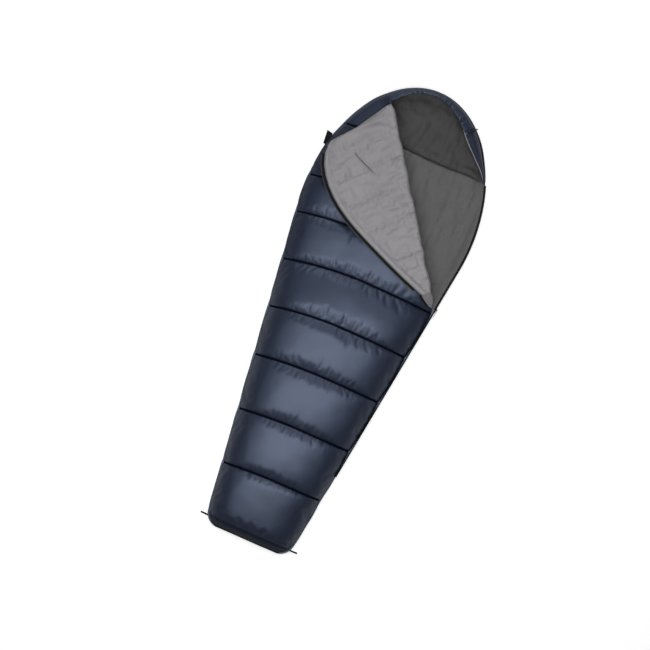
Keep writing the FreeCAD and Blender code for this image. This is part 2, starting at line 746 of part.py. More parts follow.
def make_flap():
    shell = FLAP_LAYERS["shell"]
    filling = FLAP_LAYERS["filling"]
    lining = FLAP_LAYERS["lining"]
    inset = SHELL + LAYER_GAP
    hollow = flap_slab(SHELL, shell[1], filling[1] + 1)
    middle = (filling[0] + filling[1]) / 2
    tape = (middle - TAPE_THICK / 2, middle + TAPE_THICK / 2)
    coil = (middle - COIL_THICK / 2, middle + COIL_THICK / 2)
    turn = math.radians(POCKET_TURN)
    mouth = Vec(math.cos(turn), math.sin(turn), 0)
    down = Vec(math.sin(turn), -math.cos(turn), 0)
    corner = Vec(POCKET_AT[0] * FOLD_LENGTH, POCKET_AT[1], lining[1])
    pocket_corners = [
        corner,
        corner + mouth * POCKET_LENGTH,
        corner + mouth * POCKET_LENGTH + down * POCKET_DEPTH,
        corner + down * POCKET_DEPTH,
        corner,
    ]
    pocket = Part.Face(Part.makePolygon(pocket_corners))
    parts = {
        "flap_shell": flap_slab(0, shell[0], filling[1]).cut(hollow),
        "flap_filling": flap_slab(inset, filling[0], filling[1]),
        "flap_lining": flap_slab(0, lining[0], lining[1]),
        "flap_facing": flap_strip(-2, -2 - FACING_WIDTH, lining[1], lining[1] + FACING_THICK, 0, None),
        "flap_zip_tape": flap_strip(0.2, TAPE_WIDTH, tape[0], tape[1], *TAPE_STEPS),
        "flap_zip_coil": flap_strip(
            TAPE_WIDTH, TAPE_WIDTH + COIL_WIDTH, coil[0], coil[1], *TAPE_STEPS
        ),
        "flap_pocket": pocket.extrude(Vec(0, 0, POCKET_THICK)),
    }
    place = flap_placement()
    for shape in parts.values():
        shape.Placement = place
    low, thick = FOLD_WEB
    web = box_between(Vec(4 * FOLD_GAP, FOLD_GAP - 0.05 - thick, low - FOLD_HEIGHT),
                      Vec(FOLD_LENGTH, FOLD_GAP - 0.05, 0))
    web.Placement = FreeCAD.Placement(
        FOLD_LOW, FreeCAD.Rotation(FOLD_ALONG, FOLD_LEFT, Vec(0, 0, 1), "ZXY")
    )
    parts["fold_web"] = web
    return parts


# ================================================================ the zip
def band(near, far, low, high, y_low, y_high):
    """A band along the bag's zip side, from one distance off its outline to another."""
    outer = outline_face(-far, low).extrude(Vec(0, 0, high - low))
    inner = outline_face(-near, low - 1).extrude(Vec(0, 0, high - low + 2))
    window = Part.makeBox(LENGTH, y_high - y_low, high - low + 4, Vec(0, y_low, low - 2))
    return outer.cut(inner).common(window)


def side_placement(y):
    """Frame on the zip's middle at a station: x outwards, y along the side, z up."""
    lean = math.atan(SIDE_SLOPE)
    stand = TAPE_STAND
    spot = Vec(half_width(y) + stand * math.cos(lean), y - stand * math.sin(lean), BASE_LOFT)
    return FreeCAD.Placement(spot, FreeCAD.Rotation(Vec(0, 0, 1), -math.degrees(lean)))


def make_zip():
    slot = COIL_SLOT / 2
    coil_out = slot + COIL_WIDTH
    tape_out = coil_out + TAPE_WIDTH
    y_closed = Y_V + SLIDER_LENGTH / 2 - 2
    thin = TAPE_THICK / 2
    thick = COIL_THICK / 2
    y_start = Y_ZIP + STOP_LENGTH
    parts = {}
    for name, hand, y_end in (("lower", -1, Y_NECK - 6), ("upper", 1, y_closed)):
        tape = sorted((BASE_LOFT + hand * coil_out, BASE_LOFT + hand * tape_out))
        coil = sorted((BASE_LOFT + hand * slot, BASE_LOFT + hand * coil_out))
        seam = sorted((BASE_LOFT + hand * tape_out, BASE_LOFT + hand * (tape_out - TAPE_SEAM)))
        strip = band(TAPE_STAND - thin, TAPE_STAND + thin, tape[0], tape[1], Y_ZIP, y_end)
        turned = band(0.5, TAPE_STAND + thin, seam[0], seam[1], Y_ZIP, y_end)
        parts[f"zip_tape_{name}"] = strip.fuse(turned).removeSplitter()
        parts[f"zip_coil_{name}"] = band(
            TAPE_STAND - thick, TAPE_STAND + thick, coil[0], coil[1], y_start, y_end
        )
    parts["zip_bottom_stop"] = band(
        TAPE_STAND - thick,
        TAPE_STAND + thick,
        BASE_LOFT - coil_out,
        BASE_LOFT + coil_out,
        Y_ZIP,
        y_start,
    )

    face = thick + SLIDER_PLAY
    back = face + PLATE
    rail = thin + SLIDER_PLAY
    reach = SLIDER_LENGTH / 2
    wide = SLIDER_WIDTH / 2
    slider = box_between(Vec(-face - 0.1, reach - NECK_LENGTH, -NECK_THICK / 2),
                         Vec(face + 0.1, reach, NECK_THICK / 2))
    for hand in (-1, 1):
        plate = sorted((hand * face, hand * back))
        slider = slider.fuse(box_between(Vec(plate[0], -reach, -wide), Vec(plate[1], reach, wide)))
        for level_hand in (-1, 1):
            edge = sorted((level_hand * (coil_out + SLIDER_PLAY), level_hand * wide))
            lip = sorted((hand * rail, hand * face))
            slider = slider.fuse(
                box_between(Vec(lip[0], -reach, edge[0]), Vec(lip[1], reach, edge[1]))
            )
    pin_x = back + PIN_STAND
    inner_ear = PULL_WIDTH / 2 + EAR_PLAY
    for hand in (-1, 1):
        ear = sorted((hand * inner_ear, hand * (inner_ear + EAR_THICK)))
        slider = slider.fuse(
            box_between(
                Vec(back - 0.1, PIN_PLACE - EYE_RADIUS, ear[0]),
                Vec(pin_x + EYE_RADIUS - 0.2, PIN_PLACE + EYE_RADIUS, ear[1]),
            )
        )
    pin = Part.makeCylinder(
        PIN_RADIUS, 2 * inner_ear + 0.4, Vec(pin_x, PIN_PLACE, -inner_ear - 0.2), Vec(0, 0, 1)
    )
    slider = slider.fuse(pin).removeSplitter()
    eye = Part.makeCylinder(
        EYE_RADIUS, PULL_WIDTH, Vec(pin_x, PIN_PLACE, -PULL_WIDTH / 2), Vec(0, 0, 1)
    )
    tab = box_between(
        Vec(pin_x - PULL_THICK / 2, PIN_PLACE - PULL_LENGTH, -PULL_WIDTH / 2),
        Vec(pin_x + PULL_THICK / 2, PIN_PLACE, PULL_WIDTH / 2),
    )
    ends = [e for e in tab.Edges if e.BoundBox.YMax < PIN_PLACE - PULL_LENGTH + 0.1]
    tab = tab.makeFillet(2.5, [e for e in ends if e.BoundBox.XLength > PULL_THICK - 0.1])
    hole = Part.makeCylinder(
        PIN_RADIUS + PIN_PLAY, 4 * PULL_WIDTH, Vec(pin_x, PIN_PLACE, -2 * PULL_WIDTH), Vec(0, 0, 1)
    )
    grip = Part.makeCylinder(
        1.8, 4 * PULL_THICK, Vec(pin_x - 3, PIN_PLACE - PULL_LENGTH + 5, 0), Vec(1, 0, 0)
    )
    pull = eye.fuse(tab).cut(hole).cut(grip).removeSplitter()
    place = side_placement(Y_V)
    slider.Placement = place
    pull.Placement = place
    parts["zip_slider"] = slider
    parts["slider_pull"] = pull

    lean = math.atan(SIDE_SLOPE)
    along = Vec(math.sin(lean), math.cos(lean), 0)
    y_from = Y_ZIP + DRAFT_SHORT
    run = (Y_V - DRAFT_SHORT - y_from) / math.cos(lean)
    start = Vec(half_width(y_from) - DRAFT_INSET, y_from, BASE_LOFT + DRAFT_RADIUS)
    tube = Part.makeCylinder(DRAFT_RADIUS, run, start, along)
    parts["zip_draft_tube"] = tube.makeChamfer(
        DRAFT_RADIUS * 0.6, [e for e in tube.Edges if len(e.Vertexes) == 1]
    )
    return parts


# ================================================================ loops and label
def make_trims():
    body = outline_face(-0.05, 0).extrude(Vec(0, 0, 2 * BASE_LOFT))
    parts = {}
    y = Y_FOOT + LOOP_RISE
    start = half_width(y) - 20
    wide = LOOP_SLOT / 2 + WEBBING
    tip = half_width(y) + LOOP_REACH - wide
    for side, hand in (("left", -1), ("right", 1)):
        rings = []
        for half in (wide, LOOP_SLOT / 2):
            bar = box_between(Vec(start, y - half, 0), Vec(tip, y + half, LOOP_WIDTH))
            end = Part.makeCylinder(half, LOOP_WIDTH, Vec(tip, y, 0), Vec(0, 0, 1))
            rings.append(bar.fuse(end))
        loop = rings[0].cut(rings[1])
        loop.translate(Vec(0, 0, BASE_LOFT - LOOP_WIDTH))
        if hand < 0:
            loop = loop.mirror(Vec(0, 0, 0), Vec(1, 0, 0))
        parts[f"hang_loop_{side}"] = loop.cut(body).removeSplitter()
    y = Y_NECK - LABEL_DROP
    rim = half_width(y)
    label = box_between(
        Vec(-rim - LABEL_REACH, y - LABEL_LENGTH / 2, BASE_LOFT - LABEL_THICK),
        Vec(-rim + 20, y + LABEL_LENGTH / 2, BASE_LOFT),
    )
    parts["side_label"] = label.cut(body)
    return parts


# ================================================================ writing the parts
def main():
    parts = {}
    for make in (make_top, make_base, make_foot, make_hood, make_flap, make_zip, make_trims):
        parts.update(make())
    os.makedirs("parts", exist_ok=True)
    for name in sorted(parts):
        shape = parts[name]
        print(
            f"{name:24s} {shape.ShapeType:10s} valid={shape.isValid()} "
            f"solids={len(shape.Solids)} volume={shape.Volume / 1000:.1f} cm3"
        )
        shape.exportStep(f"parts/{name}.step")


main()
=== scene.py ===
# %% [markdown]
# # A mummy sleeping bag, laid flat and opened
#
# The bag is two quilted layers, sewn together along the side and closed by a zip. Here the zip is
# half open and the top is folded back, so that the grey lining shows. Everything soft is made from
# its real construction: a grid that follows the seams; the top and the flap are blown up by cloth
# simulation between them.
# The solid model is loaded first and stays as a fixed frame that every piece is fitted to.

import json
import math

import bmesh
import bpy
import numpy as np
from mathutils import Matrix, Vector, noise
from mathutils.bvhtree import BVHTree


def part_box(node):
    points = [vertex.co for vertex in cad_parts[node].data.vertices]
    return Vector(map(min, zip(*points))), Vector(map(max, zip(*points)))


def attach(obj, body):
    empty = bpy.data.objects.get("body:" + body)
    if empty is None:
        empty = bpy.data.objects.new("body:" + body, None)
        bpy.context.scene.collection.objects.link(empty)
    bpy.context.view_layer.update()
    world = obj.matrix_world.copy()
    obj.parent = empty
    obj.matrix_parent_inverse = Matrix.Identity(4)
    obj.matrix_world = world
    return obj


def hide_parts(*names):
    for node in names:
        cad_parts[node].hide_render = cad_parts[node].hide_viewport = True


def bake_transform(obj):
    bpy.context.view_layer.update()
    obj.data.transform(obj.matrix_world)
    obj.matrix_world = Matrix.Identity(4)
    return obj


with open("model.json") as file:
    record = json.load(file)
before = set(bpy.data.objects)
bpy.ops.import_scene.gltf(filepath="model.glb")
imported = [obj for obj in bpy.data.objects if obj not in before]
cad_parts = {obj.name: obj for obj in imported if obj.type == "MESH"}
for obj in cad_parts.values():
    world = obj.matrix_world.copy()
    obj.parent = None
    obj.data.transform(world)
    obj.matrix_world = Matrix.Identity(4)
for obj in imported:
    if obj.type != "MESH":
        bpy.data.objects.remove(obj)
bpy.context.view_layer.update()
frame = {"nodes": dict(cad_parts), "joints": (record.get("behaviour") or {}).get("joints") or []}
nodes = frame["nodes"]

# %% [markdown]
# ## Where the seams are
# The chambers of the quilt are nodes of the frame, so their boxes say where each seam runs. The
# fold that the flap turns on is a joint of the frame.

# %% Measure the frame
fillings = [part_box(f"top_filling_{n}") for n in range(1, 9)]
seams = [fillings[0][0].y] + [box[1].y for box in fillings]
seam_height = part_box("base_shell")[1].z
y_foot, y_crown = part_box("base_shell")[0].y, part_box("base_shell")[1].y
y_neck = seams[-1]
joints = {joint["name"]: joint for joint in frame["joints"]}
fold_low = Vector(joints["flap_fold"]["pos_m"])
fold_along = Vector(joints["flap_fold"]["axis"]).normalized()
fold_left = Vector((-fold_along.y, fold_along.x, 0))
slider_low, slider_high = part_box("zip_slider")
y_v = (slider_low.y + slider_high.y) / 2
print("seams at", [round(y, 3) for y in seams], "opening from", round(y_v, 3))

# %% [markdown]
# ## Touching the frame with rays
# A ray that is shot at the solids says where their surface is. It lets a fine grid lie on the plain
# solid, before the quilting, puckers and folds are added to it.

# %% Rays on the solids


def tree_of(*names):
    """One search tree over several nodes of the frame."""
    points, faces = [], []
    for name in names:
        mesh = nodes[name].data
        start = len(points)
        points += [v.co.copy() for v in mesh.vertices]
        faces += [[start + i for i in p.vertices] for p in mesh.polygons]
    return BVHTree.FromPolygons(points, faces)


outer_tree = tree_of("top_shell", "foot_shell", "foot_panel")
hood_tree = tree_of("hood_shell")
flap_tree = tree_of("flap_shell", "flap_lining")
base_tree = tree_of("base_shell")


def smooth(value, low, high):
    """0 below low, 1 above high, and an even ease between them."""
    share = np.clip((value - low) / (high - low), 0.0, 1.0)
    return share * share * (3 - 2 * share)


def evenly(points, count):
    """The same line with its points at equal distances."""
    points = np.asarray(points, float)
    steps = np.linalg.norm(np.diff(points, axis=0), axis=1)
    run = np.concatenate([[0.0], np.cumsum(steps)])
    where = np.linspace(0, run[-1], count)
    return np.stack([np.interp(where, run, points[:, i]) for i in range(3)], axis=1)


def relaxed(grid, rounds, axis, held):
    """The grid with the flats of the solid evened out along one axis; held rows stay."""
    grid = np.swapaxes(grid.copy(), 0, axis)
    keep = np.zeros(len(grid), bool)
    keep[[0, -1]] = True
    keep[list(held)] = True
    for _ in range(rounds):
        middle = (grid[:-2] + grid[2:]) / 2
        moved = grid[1:-1] * 0.5 + middle * 0.5
        free = ~keep[1:-1]
        grid[1:-1][free] = moved[free]
    return np.swapaxes(grid, 0, axis)


def rough(x, y, z=0.0):
    """Smooth noise from -1 to 1."""
    return noise.noise(Vector((x, y, z)))


def half_width(y):
    """Half the width of the base at a station, measured with a ray from outside."""
    hit = base_tree.ray_cast(Vector((1.0, y, seam_height - 0.003)), Vector((-1, 0, 0)))[0]
    return hit.x if hit else 0.0


# %% [markdown]
# ## The outline
# The bag's edge is one smooth line from the foot round to the crown. It is measured once, because
# the tray of the underside, the sag of the seams and the hood's floor all follow it.

# %% Measure the outline


def outline():
    """Half the bag's outline seen from above, from the foot's middle to the crown's."""
    turn = np.linspace(0, math.pi, 400)
    ys = (y_foot + y_crown) / 2 - (y_crown - y_foot) / 2 * np.cos(turn) * 0.99995
    xs = [half_width(y) for y in ys]
    points = [(0, y_foot, 0)] + [(x, y, 0) for x, y in zip(xs, ys)] + [(0, y_crown, 0)]
    return evenly(points, 700)


rim_line = outline()
print("outline has", len(rim_line), "points")

# %% [markdown]
# ## Finishes
# Shell and lining are both thin woven nylon. What the eye reads is not the single thread but the
# soft gloss, broken up by fine creases. One node group makes those creases and the weave as a
# height, and each cloth uses it with its own strength.

# %% The shared cloth group


def cloth_group():
    """Height and tint of a crumpled woven cloth, in the object's own metres."""
    group = bpy.data.node_groups.new("Woven_Cloth", "ShaderNodeTree")
    add_socket = group.interface.new_socket
    for name, value in (("Crease Scale", 30.0), ("Crease", 1.0), ("Weave", 0.2)):
        socket = add_socket(name, in_out="INPUT", socket_type="NodeSocketFloat")
        socket.default_value = value
    add_socket("Height", in_out="OUTPUT", socket_type="NodeSocketFloat")
    add_socket("Tint", in_out="OUTPUT", socket_type="NodeSocketFloat")
    make, link = group.nodes.new, group.links.new
    inputs, outputs = make("NodeGroupInput"), make("NodeGroupOutput")
    place = make("ShaderNodeTexCoord")
    crease = make("ShaderNodeTexNoise")
    crease.inputs["Detail"].default_value = 5
    crease.inputs["Roughness"].default_value = 0.62
    crease.inputs["Distortion"].default_value = 0.6
    link(place.outputs["Object"], crease.inputs["Vector"])
    link(inputs.outputs["Crease Scale"], crease.inputs["Scale"])
    weave = make("ShaderNodeTexChecker")
    weave.inputs["Scale"].default_value = 1100
    link(place.outputs["Object"], weave.inputs["Vector"])
    patch = make("ShaderNodeTexNoise")
    patch.inputs["Scale"].default_value = 5
    patch.inputs["Detail"].default_value = 3
    link(place.outputs["Object"], patch.inputs["Vector"])
    high = make("ShaderNodeMath")
    high.operation = "MULTIPLY"
    link(crease.outputs["Fac"], high.inputs[0])
    link(inputs.outputs["Crease"], high.inputs[1])
    thread = make("ShaderNodeMath")
    thread.operation = "MULTIPLY"
    link(weave.outputs["Fac"], thread.inputs[0])
    link(inputs.outputs["Weave"], thread.inputs[1])
    total = make("ShaderNodeMath")
    link(high.outputs[0], total.inputs[0])
    link(thread.outputs[0], total.inputs[1])
    link(total.outputs[0], outputs.inputs["Height"])
    link(patch.outputs["Fac"], outputs.inputs["Tint"])
    return group


woven = cloth_group()
print("cloth group has", len(woven.nodes), "nodes")


def cloth(
    name,
    dark,
    light,
    roughness,
    crease,
    scale=28.0,
    sheen=0.0,
    weave=0.02,
    bump=0.35,
    tint=(1.0, 1.0, 1.0),
    gloss=0.5,
):
    """A woven finish that wanders between two close colours."""
    material = bpy.data.materials.new(name)
    material.use_nodes = True
    tree = material.node_tree
    make, link = tree.nodes.new, tree.links.new
    shader = tree.nodes["Principled BSDF"]
    shader.inputs["Roughness"].default_value = roughness
    shader.inputs["Specular Tint"].default_value = (*tint, 1)
    shader.inputs["Specular IOR Level"].default_value = gloss
    shader.inputs["Sheen Weight"].default_value = sheen
    shader.inputs["Sheen Roughness"].default_value = 0.4
    group = make("ShaderNodeGroup")
    group.node_tree = woven
    group.inputs["Crease Scale"].default_value = scale
    group.inputs["Crease"].default_value = crease
    group.inputs["Weave"].default_value = weave
    colour = make("ShaderNodeMix")
    colour.data_type = "RGBA"
    colour.inputs[6].default_value = (*dark, 1)
    colour.inputs[7].default_value = (*light, 1)
    link(group.outputs["Tint"], colour.inputs[0])
    link(colour.outputs[2], shader.inputs["Base Color"])
    relief = make("ShaderNodeBump")
    relief.inputs["Distance"].default_value = 0.003
    relief.inputs["Strength"].default_value = bump
    link(group.outputs["Height"], relief.inputs["Height"])
    link(relief.outputs["Normal"], shader.inputs["Normal"])
    return material


navy = cloth(
    "Outer_Navy",
    (0.0065, 0.0098, 0.0225),
    (0.009, 0.0135, 0.0295),
    0.5,
    0.5,
    weave=0.01,
    tint=(0.62, 0.74, 1.0),
    gloss=1.0,
)
# A darker, less glossy copy of the navy for the foot's end below the first seam: painted shade.
navy_foot_painted_shade = cloth(
    "Outer_Navy_Foot_Painted_Shade",
    (0.0065, 0.0095, 0.02),
    (0.009, 0.0125, 0.026),
    0.6,
    0.6,
    weave=0.01,
    tint=(0.62, 0.74, 1.0),
    gloss=0.25,
)
# Near-black navy without gloss: painted shade in the seam lines of the top, where the thread also
# shows dark, and on the edge strips of the top and the flap.
navy_painted_shade = cloth(
    "Outer_Navy_Painted_Shade",
    (0.0025, 0.0035, 0.0075),
    (0.004, 0.0055, 0.011),
    0.9,
    0.4,
    gloss=0.0,
)
grey = cloth("Lining_Grey", (0.22, 0.212, 0.223), (0.26, 0.252, 0.265), 0.58, 1.0, scale=30)
grey_pad = cloth("Lining_Facing", (0.235, 0.226, 0.237), (0.27, 0.262, 0.274), 0.6, 0.5, scale=50)
# A darker copy of the grey lining for the inside of the bag, the hood and the draft tube: painted
# shade.
lining_painted_shade = cloth(
    "Lining_Painted_Shade",
    (0.094, 0.092, 0.092),
    (0.116, 0.114, 0.114),
    0.66,
    2.6,
    scale=22,
    gloss=0.25,
    bump=0.9,
)
# An even darker copy of the lining for the hood's floor beyond the neck seam and for the pocket's
# slit: painted shade.
hood_floor = cloth(
    "Lining_Deep_Painted_Shade",
    (0.05, 0.049, 0.049),
    (0.068, 0.067, 0.067),
    0.7,
    2.6,
    scale=20,
    gloss=0.2,
    bump=0.9,
)
black_tape = cloth(
    "Zip_Tape_Black",
    (0.005, 0.005, 0.006),
    (0.008, 0.008, 0.009),
    0.8,
    0.2,
    200,
    gloss=0.15,
)
# Dark thread for the draw cord and its knot. The same finish draws the neck seam's line: the thread
# with painted shade.
thread = cloth("Thread_Dark_And_Painted_Seam_Shade", (0.02, 0.024, 0.036), (0.03, 0.034, 0.046), 0.7, 0.2, 300)

# %% [markdown]
# ### Zip, lock and slider
# Nylon coils, a painted slider and a moulded lock are hard and plain. Fine noise in the roughness
# keeps them from looking like wax.

# %% Hard finishes


def plain(name, colour, roughness, metallic=0.0, grain=400.0):
    """A moulded or painted finish with a fine grain."""
    material = bpy.data.materials.new(name)
    material.use_nodes = True
    tree = material.node_tree
    shader = tree.nodes["Principled BSDF"]
    shader.inputs["Metallic"].default_value = metallic
    shader.inputs["Base Color"].default_value = (*colour, 1)
    place = tree.nodes.new("ShaderNodeTexCoord")
    spots = tree.nodes.new("ShaderNodeTexNoise")
    spots.inputs["Scale"].default_value = grain
    reach = tree.nodes.new("ShaderNodeMapRange")
    reach.inputs["To Min"].default_value = roughness - 0.08
    reach.inputs["To Max"].default_value = roughness + 0.08
    tree.links.new(place.outputs["Object"], spots.inputs["Vector"])
    tree.links.new(spots.outputs["Fac"], reach.inputs["Value"])
    tree.links.new(reach.outputs["Result"], shader.inputs["Roughness"])
    return material


lock_plastic = plain("Lock_Plastic", (0.008, 0.008, 0.009), 0.5)
zip_metal = plain("Zip_Painted_Metal", (0.012, 0.012, 0.014), 0.38, 0.6)
zip_nylon = plain("Zip_Coil_Nylon", (0.012, 0.012, 0.014), 0.45)
print(len(bpy.data.materials), "materials so far")

# %% [markdown]
# ## From a grid to a padded piece
# A quilted layer is two cloths with filling between them. Both are grids with the same rows, so the
# piece is closed by a strip of faces all the way round their edge.

# %% Grid pieces


def normals_of(grid):
    """A unit normal at each point of a grid, from its neighbours."""
    down = np.gradient(grid, axis=0)
    across = np.gradient(grid, axis=1)
    normal = np.cross(across, down)
    length = np.linalg.norm(normal, axis=2, keepdims=True)
    return normal / np.maximum(length, 1e-9)


def piece_from(name, grids, quads, slots, materials):
    """A mesh object from grids of points and (corner indices) faces with a material slot each."""
    mesh = bpy.data.meshes.new(name)
    points = np.concatenate([g.reshape(-1, 3) for g in grids])
    mesh.from_pydata(points.tolist(), [], quads)
    mesh.polygons.foreach_set("material_index", slots)
    mesh.polygons.foreach_set("use_smooth", [True] * len(quads))
    for material in materials:
        mesh.materials.append(material)
    mesh.update()
    obj = bpy.data.objects.new(name, mesh)
    bpy.context.scene.collection.objects.link(obj)
    return obj


def grid_quads(rows, columns, start=0, flip=False):
    quads = []
    for r in range(rows - 1):
        for c in range(columns - 1):
            a = start + r * columns + c
            quad = [a, a + 1, a + columns + 1, a + columns]
            quads.append(quad[::-1] if flip else quad)
    return quads


def border_loop(rows, columns):
    """Indices round the edge of a grid, in order."""
    top = list(range(columns))
    right = [r * columns + columns - 1 for r in range(1, rows)]
    bottom = [(rows - 1) * columns + c for c in range(columns - 2, -1, -1)]
    left = [r * columns for r in range(rows - 2, 0, -1)]
    return top + right + bottom + left


def point_outwards(obj, merge=False):
    """Merge doubled points where asked, and turn every face outwards."""
    edit = bmesh.new()
    edit.from_mesh(obj.data)
    if merge:
        bmesh.ops.remove_doubles(edit, verts=edit.verts, dist=1e-5)
    bmesh.ops.recalc_face_normals(edit, faces=edit.faces)
    edit.to_mesh(obj.data)
    edit.free()


def pad(name, outer, inner, materials):
    """A closed padded piece between two grids. Material 0 is outside, 1 inside, 2 the edge."""
    rows, columns = outer.shape[:2]
    second = rows * columns
    quads = grid_quads(rows, columns)
    slots = [0] * len(quads)
    inside = grid_quads(rows, columns, second, flip=True)
    quads += inside
    slots += [1] * len(inside)
    loop = border_loop(rows, columns)
    for a, b in zip(loop, loop[1:] + loop[:1]):
        quads.append([b, a, second + a, second + b])
        slots.append(2)
    made = piece_from(name, [outer, inner], quads, slots, materials)
    point_outwards(made, merge=True)
    return made


def tube(name, path, radii, material, sides=12):
    """A closed tube along a path, with a radius at each point."""
    path = np.asarray(path, float)
    along = np.gradient(path, axis=0)
    along /= np.linalg.norm(along, axis=1, keepdims=True)
    side = np.cross(along, (0, 0, 1.0))
    side /= np.linalg.norm(side, axis=1, keepdims=True)
    up = np.cross(side, along)
    angles = np.linspace(0, 2 * math.pi, sides, endpoint=False)
    radii = np.asarray(radii, float).reshape(-1, 1, 1)
    rings = path[:, None, :] + radii * (
        np.cos(angles)[None, :, None] * side[:, None, :]
        + np.sin(angles)[None, :, None] * up[:, None, :]
    )
    count = len(path)
    quads = []
    for r in range(count - 1):
        for c in range(sides):
            d = (c + 1) % sides
            quads.append([r * sides + c, r * sides + d, (r + 1) * sides + d, (r + 1) * sides + c])
    quads.append(list(range(sides)))
    quads.append([(count - 1) * sides + c for c in range(sides)][::-1])
    made = piece_from(name, [rings], quads, [0] * len(quads), [material])
    point_outwards(made)
    return made


def refine(obj, levels=1):
    """Round a finished piece off with one subdivision, applied."""
    bpy.ops.object.select_all(action="DESELECT")
    obj.select_set(True)
    bpy.context.view_layer.objects.active = obj
    modifier = obj.modifiers.new("Subdivision", "SUBSURF")
    modifier.levels = modifier.render_levels = levels
    bpy.ops.object.modifier_apply(modifier=modifier.name)


# %% [markdown]
# ## Blowing up the quilt
# Between two seams the filling pushes the cloth out, and because the cloth is a little longer than
# the room it has, it creases. Blender's cloth does the same thing when a grid is pinned at its
# seams, cut a little too large and put under pressure.

# %% Cloth simulation


def inflate(grid, pinned, pressure=2.5, surplus=0.03, frames=16, cap=0.012, bending=0.4):
    """The grid after its cloth has been blown up between its pinned points."""
    rows, columns = grid.shape[:2]
    quads = grid_quads(rows, columns)
    obj = piece_from("Cloth_Blank", [grid], quads, [0] * len(quads), [])
    held = obj.vertex_groups.new(name="held")
    flat = pinned.reshape(-1)
    for weight in sorted(set(np.round(flat[flat > 0], 2))):
        chosen = np.nonzero(np.isclose(np.round(flat, 2), weight))[0].tolist()
        held.add(chosen, float(weight), "REPLACE")
    modifier = obj.modifiers.new("Cloth", "CLOTH")
    setup = modifier.settings
    setup.quality = 5
    setup.mass = 0.15
    setup.tension_stiffness = setup.compression_stiffness = 12
    setup.shear_stiffness = 4
    setup.bending_stiffness = bending
    setup.tension_damping = setup.compression_damping = 12
    setup.air_damping = 6
    setup.vertex_group_mass = "held"
    setup.shrink_min = -surplus
    setup.use_pressure = True
    setup.uniform_pressure_force = pressure
    setup.effector_weights.gravity = 0
    modifier.collision_settings.use_collision = False
    modifier.point_cache.frame_end = frames
    scene = bpy.context.scene
    for step in range(1, frames + 1):
        scene.frame_set(step)
    graph = bpy.context.evaluated_depsgraph_get()
    result = obj.evaluated_get(graph).data
    points = np.empty(len(result.vertices) * 3)
    result.vertices.foreach_get("co", points)
    points = points.reshape(grid.shape)
    scene.frame_set(1)
    bpy.data.objects.remove(obj)
    moved = points - grid
    length = np.linalg.norm(moved, axis=2, keepdims=True)
    return grid + moved * np.minimum(1.0, cap / np.maximum(length, 1e-9))


# %% [markdown]
# ## The quilted top
# Rows of the grid run across the bag, and there is one exactly on each seam. They lie closer
# together beside a seam, where the cloth bends most. Columns run from the left seam over the top to
# the zip, or to the fold where the bag is open.

# %% Lay the top's grid on the frame
TOP_COLUMNS = 128
CHAMBER_ROWS = 30
SEARCH_FROM, SEARCH_TO = -0.12, 0.43  # where the top's right edge is looked for


def right_edge(y):
    """How far the top reaches on the zip side at a station, and its height there."""
    low, high = SEARCH_FROM, SEARCH_TO
    height = seam_height
    for _ in range(18):
        middle = (low + high) / 2
        hit = outer_tree.ray_cast(Vector((middle, y, 1.0)), Vector((0, 0, -1)))[0]
        if hit is not None and hit.z > seam_height - 0.001:
            low, height = middle, hit.z
        else:
            high = middle
    return low, height


def top_line(y):
    """Points over the top at one station, from the left seam to its other edge."""
    x, z = right_edge(y)
    last = 0.004
    if x < half_width(y) - 0.012:
        last = math.atan2(z - seam_height, x)
    points = []
    for angle in np.linspace(math.pi - 0.004, last, 110):
        out = Vector((math.cos(angle), 0, math.sin(angle)))
        start = Vector((0, y, seam_height + 0.0005)) + out * 0.7
        hit = outer_tree.ray_cast(start, -out)[0]
        if hit is not None:
            points.append(hit)
    return evenly(points, TOP_COLUMNS)


foot_end = seams[0] - 0.0475
stations, chamber_share, chamber_id = [], [], []
for y in np.linspace(foot_end, seams[0], 12)[:-1]:
    stations.append(y)
    chamber_share.append(0.0)
    chamber_id.append(-1)
for n in range(8):
    for k in range(CHAMBER_ROWS):
        share = k / CHAMBER_ROWS
        share -= 0.62 * math.sin(2 * math.pi * share) / (2 * math.pi)
        stations.append(seams[n] + (seams[n + 1] - seams[n]) * share)
        chamber_share.append(share)
        chamber_id.append(n)
stations = np.array(stations + [seams[-1]])
chamber_share = np.array(chamber_share + [1.0])
chamber_id = np.array(chamber_id + [7])
top_plain = np.array([top_line(min(y, seams[-1] - 0.0006)) for y in stations])
top_plain[:, :, 1] = stations[:, None]
PANEL_SHARES = (0.03, 0.25, 0.5, 0.72, 0.9)
panel = []
for share in PANEL_SHARES:
    row = top_plain[0].copy()
    row[:, 0] *= share
    row[:, 2] = seam_height + (row[:, 2] - seam_height) * share
    row[:, 1] -= 0.0012 * (1 - share)
    panel.append(row)
top_plain = np.concatenate([panel, top_plain])
stations = np.concatenate([[foot_end] * len(panel), stations])
chamber_share = np.concatenate([[0.0] * len(panel), chamber_share])
chamber_id = np.concatenate([[-2] * len(panel), chamber_id])
seam_rows = [int(np.argmin(np.abs(stations - y))) for y in seams]
seam_rows += list(range(int(np.argmin(np.abs(stations - seams[0]))) + 1))
top_plain = relaxed(top_plain, 150, 1, [])
top_plain = relaxed(top_plain, 25, 0, seam_rows)
print("top grid", top_plain.shape)

# %% [markdown]
# ### Puffs and puckers
# The thread draws the cloth in, so each chamber rises steeply from its seams. The cloth that is
# drawn in has to go somewhere: it stands in short creases square to the seam, most of them over the
# middle of the body where the quilt is bent least.

# %% Shape the puffs


def seam_distance(y, lines):
    return np.min(np.abs(np.asarray(y)[..., None] - np.asarray(lines)), axis=-1)


